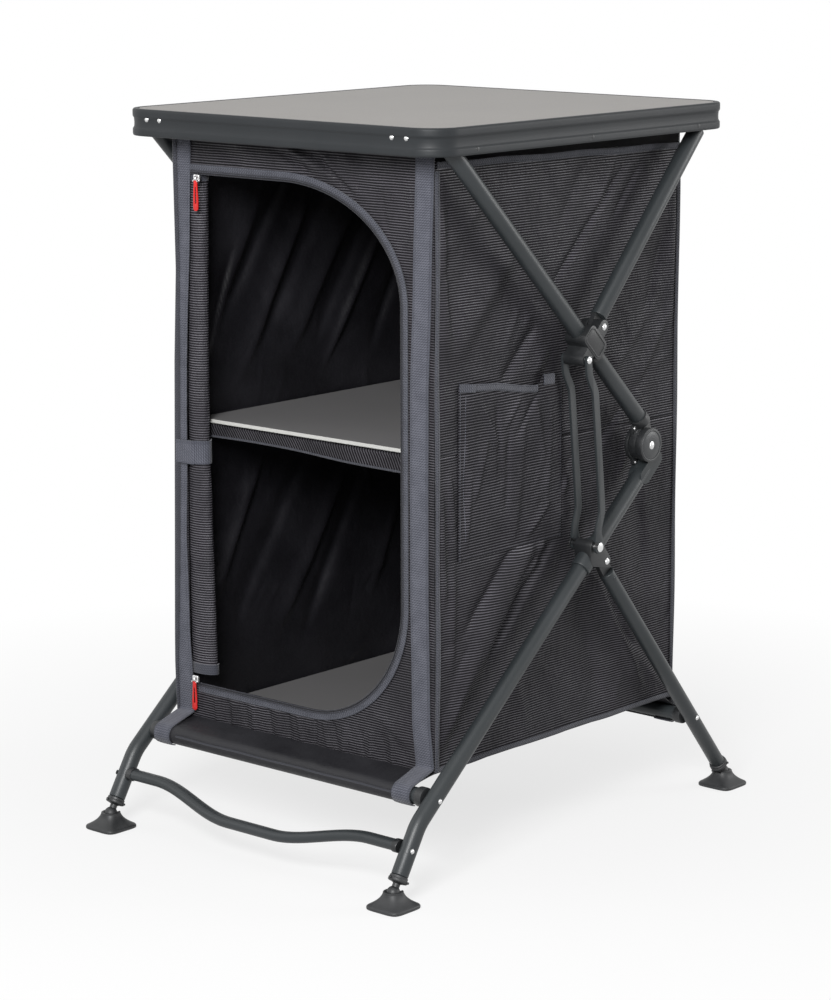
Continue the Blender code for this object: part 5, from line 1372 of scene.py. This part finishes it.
# Strip of the left wall's hem that laps over the outer edge of the corner webbing
def buildCornerHem():
    c, k = cabinet, leftCorner
    z = np.linspace(c["topFront"] + 0.016, c["bottom"] - 0.001, 110)
    line = np.column_stack([np.interp(z, k["heights"], k["hem"]), np.full(110, c["front"] - k["hemOut"]), z])
    wide = np.interp(z, k["heights"], k["hemWide"])
    bandPiece("leftCornerHem", line, (1, 0, 0), wide, (0, -1, 0), 0.0008, 0.0016, darkBinding)
    stitchRow("leftCornerHemStitches", line + np.array([0, -0.0016, 0]), (0, -1, 0))


# Webbing behind: down the corner, and a loop of its own round the rear bar
def buildRearWebbing(label, sx):
    c = cabinet
    x, y, wide = sx * 0.2073, c["rear"] + 0.0011, 0.0285
    z = np.linspace(c["topFront"] + 0.018, c["bottom"] + 0.001, 90)
    line = np.column_stack([np.full(90, x), np.full(90, y), z])
    bandPiece(label + "RearWebbing", line, (1, 0, 0), wide, (0, 1, 0), 0.0004, 0.0014, webbing,
              "rear_webbing_" + label)
    around = np.array([rearBar + (barLooks["rear"] + 0.0028) * heading(a) for a in np.linspace(70, -120, 26)])
    path = np.vstack([[y, c["bottom"] + 0.002], around])
    line = resampled(np.column_stack([np.full(len(path), x), path]), 0.003)
    outs = np.cross(unit(np.gradient(line, axis=0)), np.broadcast_to([1.0, 0, 0], line.shape))
    outs = outs * np.sign((outs * (line - inSpace(x, rearBar))).sum(1).mean())
    bandPiece(label + "RearLoop", line, (1, 0, 0), wide, outs, 0.0002, 0.0014, darkBinding, facing=(0, 1, 0))


# Floor cloth: flat under the cabinet, sloping down to the two bars and round them
def buildFloorCloth():
    c = cabinet
    level = c["bottom"] - 0.0011
    front, rear = barLooks["front"] + 0.0014, barLooks["rear"] + 0.0014
    frontWrap = np.array([frontBar + front * heading(a) for a in np.linspace(285, 104, 30)])
    rearWrap = np.array([rearBar + rear * heading(a) for a in np.linspace(76, -105, 30)])
    flat = [[-0.2475, level], [c["front"] + 0.010, level], [c["rear"] - 0.010, level]]
    path = resampled(np.vstack([frontWrap, flat, rearWrap]), 0.0028)
    x = np.linspace(-0.2185, 0.2185, 110)
    y, z = path[:, :1] + 0 * x, path[:, 1:] + 0 * x
    inFront = ease((-0.246 - y) / 0.006) * ease((z - 0.127) / 0.006)
    flapFolds = [(-0.20, 0.0, -0.10, 0.02, 0.006, 0.0006), (0.05, 0.0, 0.16, 0.03, 0.007, 0.0007),
                 (-0.05, 0.03, 0.04, 0.0, 0.008, -0.0007)]
    run = np.broadcast_to((path[:, 0] + 0.284)[:, None], y.shape)
    wave = 0.0007 * np.sin(40 * x) * np.sin(90 * run)
    z = z + creaseHeight(x + 0 * y, run, flapFolds) * inFront + wave * inFront
    sag = 0.0012 * np.sin(np.pi * np.clip((y - c["front"]) / 0.496, 0, 1)) * (1 - (x / 0.2185) ** 2)
    middle = np.stack([x + 0 * y, y, z - sag], -1)
    v = runAlong(path)[:, None] + 0 * x
    piece = clothPiece("floorCloth", middle, np.stack([x + 0 * y, v], -1), 0.0014, (0, 0, -1))
    hangSheet(piece, floorCloth, floorCloth, "floor_fabric", keep=0.214)
    place = frontBar + (front + 0.0004) * heading(172.0)
    ridge = resampled([inSpace(-0.191, place), inSpace(0.191, place)], 0.01)
    ridge[:, 2] += 0.0003 * np.sin(60 * ridge[:, 0])
    rings = carriedRings(ridge, roundSection(0.0013, 0.0008, 12), (0, 0, 1))
    cord = skinPiece("sleeveRidge", rings, smoothAngle=80)
    crumples(dress(cord, darkBinding, "table_top", "webbing"))
    stitchRow("sleeveStitches", ridge + np.array([0, -0.0002, 0.0030]), (0, -1, 0.4))


roll = {"depth": 0.0115, "top": 0.8665, "bottom": 0.200, "strap": 0.4995,
        "heights": [0.200, 0.250, 0.380, 0.560, 0.620, 0.800, 0.8665],
        "middles": [-0.1945, -0.1955, -0.1980, -0.1985, -0.1975, -0.1935, -0.1930],
        "halves": [0.0225, 0.0218, 0.0205, 0.0170, 0.0160, 0.0145, 0.0140]}


# Rolled door: a spiral of cloth seen from outside as lapped, slightly slack turns
def buildRoll():
    k = roll
    z = np.linspace(k["bottom"], k["top"], 170)
    share = (z - k["bottom"]) / (k["top"] - k["bottom"])
    half, centreX = np.interp(z, k["heights"], k["halves"]), np.interp(z, k["heights"], k["middles"])
    turn = np.linspace(0, 2 * np.pi, 64, endpoint=False)
    squeeze = 1 - 0.10 * np.maximum(0, 1 - np.abs(z - k["strap"]) / 0.05)
    lap = 0.92 + 0.08 * (((turn[None, :] - 1.2 + 0.15 * np.sin(5 * share)[:, None]) / (2 * np.pi)) % 1.0)
    slack = 1 + 0.018 * np.sin(3 * turn[None, :] + 9 * share[:, None]) * np.sin(6 * share)[:, None]
    reach = squeeze[:, None] * lap * slack
    centre = cabinet["front"] + 0.0016 + k["depth"]
    x = centreX[:, None] + half[:, None] * reach * np.cos(turn)
    y = centre + (k["depth"] - 0.0004) * reach * np.sin(turn)
    rings = np.stack([x, y, z[:, None] + 0 * x], -1)
    uv = np.stack([half[:, None] * turn[None, :], z[:, None] + 0 * x], -1)
    piece = skinPiece("doorRoll", rings, uv.reshape(-1, 2), smoothAngle=60)
    crumples(dress(piece, rollCloth, "table_top", "cloth", "door_roll"))
    for name, low, high in (("rollLowerBand", k["bottom"] - 0.001, k["bottom"] + 0.0125),
                            ("rollUpperBand", k["top"] - 0.010, k["top"] + 0.0005)):
        z = np.linspace(low, high, 9)
        wide = np.interp(low, k["heights"], k["halves"]) + 0.0009
        ring = np.stack([np.interp(low, k["heights"], k["middles"]) + wide * np.cos(turn),
                         centre + (k["depth"] + 0.0004) * np.sin(turn)], 1)
        rings = np.stack([np.column_stack([ring, np.full(64, height)]) for height in z])
        uv = np.stack([np.broadcast_to(turn * wide, (9, 64)), np.broadcast_to(z[:, None] - low, (9, 64))], -1)
        band = skinPiece(name, rings, uv.reshape(-1, 2), smoothAngle=50)
        crumples(dress(band, [bindingCloth], "table_top", "webbing"))

    middle = np.array([np.interp(k["strap"], k["heights"], k["middles"]), centre])
    spread = np.array([np.interp(k["strap"], k["heights"], k["halves"]) * 0.93 + 0.0012, k["depth"] + 0.0011])
    around = np.array([middle + spread * heading(a) for a in range(-72, 120, 8)])
    start = np.array([(-0.2235, cabinet["front"] - 0.0052), (-0.2080, cabinet["front"] - 0.0042),
                      (-0.1960, cabinet["front"] - 0.0030)])
    line = resampled(np.vstack([start, around]), 0.0022)
    z = np.linspace(-0.0155, 0.0155, 12)
    x, y = line[:, :1], line[:, 1:]
    flat = np.zeros((len(line), 12))
    grid = np.stack([x + flat, y + flat, k["strap"] + z * (1 + 0.02 * np.sin(120 * x))], -1)
    uv = np.stack([z + 0.0155 + flat, runAlong(line)[:, None] + flat], -1)
    strap = clothPiece("rollStrap", grid, uv, 0.0012, (0, -1, 0))
    hangSheet(strap, webbing, webbing, "roll_strap", slot="webbing")


pocket = {"front": -0.2040, "rear": 0.0, "bottom": 0.4055, "thick": 0.0012, "bulge": 0.0034}
pocketTop = {"u": [-0.204, -0.174, -0.131, -0.087, -0.067, -0.056, -0.047, -0.0415, -0.020, 0.0],
             "v": [0.6290, 0.6258, 0.6218, 0.6136, 0.6112, 0.6098, 0.6135, 0.6222, 0.6212, 0.6030]}
pocketFolds = [
    (-0.168, 0.605, -0.122, 0.530, 0.0055, 0.0026), (-0.135, 0.612, -0.120, 0.480, 0.0050, -0.0026),
    (-0.150, 0.560, -0.178, 0.470, 0.0055, 0.0026), (-0.060, 0.600, -0.035, 0.500, 0.0060, 0.0024),
    (-0.045, 0.605, -0.100, 0.545, 0.0045, -0.0022), (-0.085, 0.600, -0.120, 0.560, 0.0040, 0.0016),
    (-0.025, 0.600, -0.030, 0.450, 0.0055, 0.0020), (-0.195, 0.600, -0.188, 0.520, 0.0035, 0.0016),
    (-0.193, 0.530, -0.200, 0.410, 0.0030, -0.0022), (-0.183, 0.520, -0.190, 0.415, 0.0040, 0.0020),
    (-0.078, 0.600, -0.100, 0.400, 0.0100, 0.0030), (-0.108, 0.570, -0.112, 0.440, 0.0050, -0.0020),
    (-0.020, 0.460, -0.075, 0.412, 0.0055, 0.0022),
]


# Side pocket: a patch sewn flat at three edges, with a band, a tab and a small patch at its open top
def buildPocket():
    k = pocket
    front, rear, bottom = k["front"], k["rear"], k["bottom"]
    u = np.linspace(front, rear, 110)
    top = np.interp(u, pocketTop["u"], pocketTop["v"])
    t = np.linspace(0, 1, 120)[:, None]
    v = bottom + (top - bottom) * t
    across = np.broadcast_to(u, v.shape)
    free = ease((across - front) / 0.022) * ease((rear - across) / 0.022)
    lift = k["bulge"] * free * ease(t / 0.25) * (0.35 + 0.65 * ease(t))
    small = scatteredCreases(51, 45, (-0.20, 0.41), (-0.005, 0.61), 80, 35, (0.015, 0.05), (0.0018, 0.0035),
                             (-0.0006, 0.0008))
    folds = 1.7 * creaseHeight(across, v, pocketFolds, lean=0.3) + creaseHeight(across, v, small)
    folds = folds * (0.15 + 0.85 * free) * ease(t / 0.08)
    x = cabinet["half"] + 0.0011 + heldWithin(np.maximum(lift + folds, 1e-6), -0.001, 0.0080)
    # The pocket's colours get painted fold light and shade from its folds
    piece = clothPiece("sidePocket", np.stack([x, across, v], -1), np.stack([across, v], -1), k["thick"],
                       (1, 0, 0), relief=paintedFoldLight(x, across, v))
    hangSheet(piece, pocketCloth, pocketCloth, "side_pocket")

    tab = np.column_stack([x[-1] + 0.0011, u, top - 0.0066])[(u > -0.0425) & (u < -0.0190)]
    line = np.column_stack([x[-1] + 0.0010, u, top - 0.0042])[u < -0.0530]
    patch = line[line[:, 1] < -0.1765] + np.array([0.0009, 0.0, -0.0004])
    line = resampled(line, 0.0035)
    for name, band, width, crown in (("pocketTab", tab, 0.0134, 0.0004),
                                     ("pocketPatch", patch, 0.0104, 0.0004),
                                     ("pocketBand", line, 0.0092, 0.0005)):
        bandPiece(name, band, (0, 0, 1), width, (1, 0, 0), crown, 0.0014, bindingCloth)
    for name, offset in (("pocketBandStitches-33", -0.0033), ("pocketBandStitches33", 0.0033)):
        stitchRow(name, line + np.array([0.0012, 0, offset]), (1, 0, 0))
    for name, finish, points in (
            ("Front", paleThread, [(front + 0.002, 0.622), (front + 0.002, bottom)]),
            ("FrontInner", paleThread,
             [(front + 0.011, 0.612), (front + 0.008, 0.500), (front + 0.012, 0.430)]),
            ("Rear", thread, [(rear - 0.002, 0.612), (rear - 0.002, bottom)]),
            ("Bottom", thread, [(front, bottom + 0.002), (rear, bottom + 0.002)])):
        path = resampled(points, 0.003)
        rows = np.clip((path[:, 1] - bottom) / 0.215 * 119, 0, 119).astype(int)
        lifted = np.array([np.interp(place, u, x[row]) for place, row in zip(path[:, 0], rows)])
        stitchRow("pocketStitches" + name, np.column_stack([lifted + 0.0008, path]), (1, 0, 0), finish)


shelf = {"top": 0.541, "board": 0.005, "half": 0.214, "front": -0.2215, "rear": 0.240}


# Board: a grey sheet with a pale cut edge
def buildBoard(name, node, body, top):
    k = shelf
    edge, low = 0.0008, top - k["board"]
    rings = []
    for shrink, z in ((edge, low), (0.0, low + edge), (0.0, top - edge), (edge, top)):
        x, front, rear = k["half"] - shrink, k["front"] + shrink, k["rear"] - shrink
        rings.append([(-x, front, z), (x, front, z), (x, rear, z), (-x, rear, z)])
    piece = skinPiece(name, rings, smoothAngle=30)
    heights = np.array([abs(p.normal[2]) for p in piece.data.polygons])
    dress(piece, [boardFinish, boardEdge], body, "board", node)
    piece.data.polygons.foreach_set("material_index", (heights < 0.9).astype(int))


# Sling under the shelf with a hem that hangs below the board's front edge
def buildSling():
    level = shelf["top"] - shelf["board"] - 0.0012
    path = resampled([(0.2410, level), (-0.214, level), (-0.2195, level - 0.0008), (-0.2208, level - 0.0030),
                      (-0.2200, level - 0.0175)], 0.004)
    x = np.linspace(-0.2150, 0.2150, 120)
    y, z = path[:, :1] + 0 * x, path[:, 1:] + 0 * x
    hem = ease((level - z) / 0.006)
    z = z - (level - z) / 0.0175 * (0.0085 * ease((x + 0.15) / 0.35) + 0.0006 * np.sin(23 * x))
    y = y - hem * (0.0012 * np.sin(37 * x) * np.sin(11 * x + 1) - 0.0012)
    z = z - (1 - hem) * 0.0006 * (1 - (x / 0.215) ** 2)
    middle = np.stack([x + 0 * y, y, z], -1)
    run = runAlong(path)[:, None] + 0 * x
    slanted = np.stack([x + run * 0.8, run * 0.5 - x * 0.8], -1)
    piece = clothPiece("shelfSling", middle, slanted, 0.0009, (0, -0.3, -1))
    hangSheet(piece, lining, slingCloth, "shelf_sling", slot="lining")
    line = middle[-1][::2] + np.array([0, -0.0005, 0.0016])
    bandPiece("slingHem", line, (0, 0.05, 1), 0.0024, (0, -1, 0), 0.0003, 0.0010, darkBinding, columns=5)


# Plate on the front between two depths
def frontPlate(name, outline, yLow, yHigh):
    return skinPiece(name, np.stack([onFront(outline, y) for y in (yLow, yHigh)]), smoothAngle=0)


# Zip slider with its two cheeks and bridge, and the pull that hangs between them
def buildSlider(level, x, z):
    body, outer = level + "_slider", cabinet["front"] - 0.0023
    corners = [(np.array([x + a * 0.0034, z + b * 0.0030]), 0.0020) for a in (-1, 1) for b in (-1, 1)]
    plate = frontPlate(level + "ZipSlider", outlineAround(corners, 24), outer - 0.0036, outer)
    roundEdges(plate, 0.0009)
    applyAll(plate)
    dress(plate, shiny, body, "metal", level + "_zip_slider")
    pivot = np.array([x, outer - 0.0036 - 0.0011, z - 0.0034])
    knob = [(0.0001, 0.0), (0.0012, 0.0), (0.0016, 0.0003), (0.0016, 0.0012), (0.0012, 0.0015),
            (0.0001, 0.0015)]
    for sign in (-1, 1):
        place = pivot + np.array([sign * 0.0031, 0, 0])
        fitting(f"{level}Cheek{sign}", knob, place, (sign, 0, 0), 16, body, shiny, "metal")
    path = pivot + np.array([(0, -0.0004, 0.0012), (0, -0.0016, 0.0030), (0, -0.0010, 0.0052),
                             (0, 0.0012, 0.0062)])
    bridge = carriedRings(path, roundSection(0.0017, 0.0007, 12), (1, 0, 0))
    dress(skinPiece(level + "SliderBridge", bridge, smoothAngle=60), shiny, body, "metal")

    head, tip = np.array([x, z - 0.0034]), np.array([x, z - 0.0034 - 0.0350])
    t = np.radians(np.linspace(180, 360, 20))
    end = tip + 0.0043 * np.stack([np.cos(t), np.sin(t)], 1) * (1, 0.9)
    outline = np.vstack([head + (0.0027, 0.0004), head + (-0.0027, 0.0004), head + (-0.0029, -0.004),
                         tip + (-0.0043, 0.0105), end, tip + (0.0043, 0.0105), head + (0.0029, -0.004)])
    hole = outlineAround([(tip + (0, 0.0070), 0.0014), (head + (0, -0.0090), 0.0011)], 24)
    low, high = pivot[1] - 0.0008, pivot[1] + 0.0008
    pull = combine(level + "ZipPull", [frontPlate("pull", outline, low, high)],
                   [frontPlate("hole", hole, low - 0.002, high + 0.002)], 0.00035)
    dress(pull, redPull, level + "_pull", "pull", level + "_zip_pull")


buildFrontPanel()
buildZipBand()
for label, sx in sides.items():
    buildSideWall(label, sx)
    buildFrontWebbing(label, sx)
    buildRearWebbing(label, sx)
buildCornerHem()
buildBackWall()
buildFloorCloth()
buildRoll()
buildPocket()
print("cloth built")
buildBoard("shelfBoard", "shelf_board", "shelf", shelf["top"])
buildBoard("floorBoard", "floor_board", "cabinet_floor", 0.1456)
buildSling()
buildSlider("upper", -0.178, 0.8615)
buildSlider("lower", -0.195, 0.1925)
print("boards and zips built")


# Lists of the straps and of the sheets that are pieces of their own; nothing is done with them
def declareCloth():
    def sewn(starts):
        return [o for o in bpy.data.objects if o.name.startswith(tuple(starts)) and o.name not in ownSheets]

    straps = [label + strap for label in sides for strap in ("FrontWebbing", "RearWebbing", "RearLoop")]
    ownSheets = {"frontPanel", "leftWall", "rightWall", "backWall", "floorCloth", "sidePocket", "shelfSling",
                 "rollStrap", *straps}


declareCloth()


# Stage, light and camera
stageLooks = {"floor": (0.82, 0.82, 0.82), "bounce": (0.38, 0.38, 0.38), "white": 1.0, "near": 0.74,
              "fill": 0.22}
lamps = {"key": ((2.3, 2.6, 1.35), 1.3, 34.0), "front": ((1.5, -2.9, 2.1), 1.2, 148.0),
         "over": ((0.2, -0.6, 3.4), 1.8, 5.0), "left": ((-2.8, -1.8, 1.8), 2.0, 12.0)}
camera = {"focal": 3086.84, "azimuth": 41.083, "pitch": 11.502, "roll": -0.113,
          "place": (2.6482, -3.0668, 1.2475)}


# 1 for rays that the camera sees directly, in a mirror or through glass
def seenRays(tree):
    rays = tree.nodes.new("ShaderNodeLightPath")
    total = rays.outputs["Is Camera Ray"]
    for name in ("Is Glossy Ray", "Is Transmission Ray"):
        larger = tree.nodes.new("ShaderNodeMath")
        larger.operation = "MAXIMUM"
        tree.links.new(total, larger.inputs[0])
        tree.links.new(rays.outputs[name], larger.inputs[1])
        total = larger.outputs[0]
    return total


def buildStage():
    corners = [(-9, -9, -0.0004), (9, -9, -0.0004), (9, 9, -0.0004), (-9, 9, -0.0004)]
    floor = makePiece("floorSheet", corners, [[0, 1, 2, 3]])
    m = Paint("floorFinish")
    m.set(color=stageLooks["floor"], rough=0.9, specular=0.05)
    seen = seenRays(m.tree)
    m.paint(m.mix(seen, stageLooks["bounce"], stageLooks["floor"]))
    distance = m.node("ShaderNodeVectorMath", operation="LENGTH")
    m.join(m.position((1, 1, 1)), distance.inputs[0])
    share = m.grey(distance.outputs["Value"], stageLooks["near"], 1.0, 0.35, 1.3)
    glow = m.node("ShaderNodeEmission", Strength=stageLooks["white"])
    both = m.node("ShaderNodeMixShader")
    m.join(m.math("MULTIPLY", share, seen), both.inputs["Fac"])
    m.join(m.shader.outputs["BSDF"], both.inputs[1])
    m.join(glow.outputs["Emission"], both.inputs[2])
    m.join(both.outputs["Shader"], m.tree.nodes["Material Output"].inputs["Surface"])
    floor.data.materials.append(m.material)
    for name, (place, size, power) in lamps.items():
        data = bpy.data.lights.new(name, "AREA")
        data.size, data.energy = size, power
        thing = bpy.data.objects.new(name, data)
        bpy.context.collection.objects.link(thing)
        thing.location = place
        toward = np.array([0.0, 0.0, 0.45]) - np.array(place)
        thing.rotation_euler = (math.acos(-toward[2] / np.linalg.norm(toward)), 0,
                                math.atan2(toward[1], toward[0]) - math.pi / 2)

    world = bpy.data.worlds.new("world")
    bpy.context.scene.world = world
    world.use_nodes = True
    tree = world.node_tree
    tree.nodes.clear()
    out = tree.nodes.new("ShaderNodeOutputWorld")
    mix = tree.nodes.new("ShaderNodeMixShader")
    tree.links.new(seenRays(tree), mix.inputs["Fac"])
    for number, strength in ((1, stageLooks["fill"]), (2, stageLooks["white"])):
        light = tree.nodes.new("ShaderNodeBackground")
        light.inputs["Color"].default_value = (1.0, 1.0, 1.0, 1.0)
        light.inputs["Strength"].default_value = strength
        tree.links.new(light.outputs["Background"], mix.inputs[number])
    tree.links.new(mix.outputs["Shader"], out.inputs["Surface"])


def buildCamera():
    data = bpy.data.cameras.new("camera")
    data.sensor_fit = "VERTICAL"
    data.sensor_height = 36.0
    data.lens = camera["focal"] / 1000 * 36.0
    data.clip_end = 60.0
    eye = bpy.data.objects.new("camera", data)
    bpy.context.collection.objects.link(eye)
    a, p, r = (math.radians(camera[key]) for key in ("azimuth", "pitch", "roll"))
    forward = np.array([-math.sin(a) * math.cos(p), math.cos(a) * math.cos(p), -math.sin(p)])
    right = np.array([math.cos(a), math.sin(a), 0.0])
    up = np.cross(right, forward)
    right, up = right * math.cos(r) + up * math.sin(r), -right * math.sin(r) + up * math.cos(r)
    place = np.array(camera["place"]) + topMiddle
    axes = np.column_stack([right, up, -forward, place])
    eye.matrix_world = Matrix([*axes.tolist(), [0.0, 0.0, 0.0, 1.0]])
    scene = bpy.context.scene
    scene.camera = eye
    scene.render.resolution_x, scene.render.resolution_y = 831, 1000
    scene.view_settings.view_transform = "Standard"


buildStage()
buildCamera()
print("stage set")
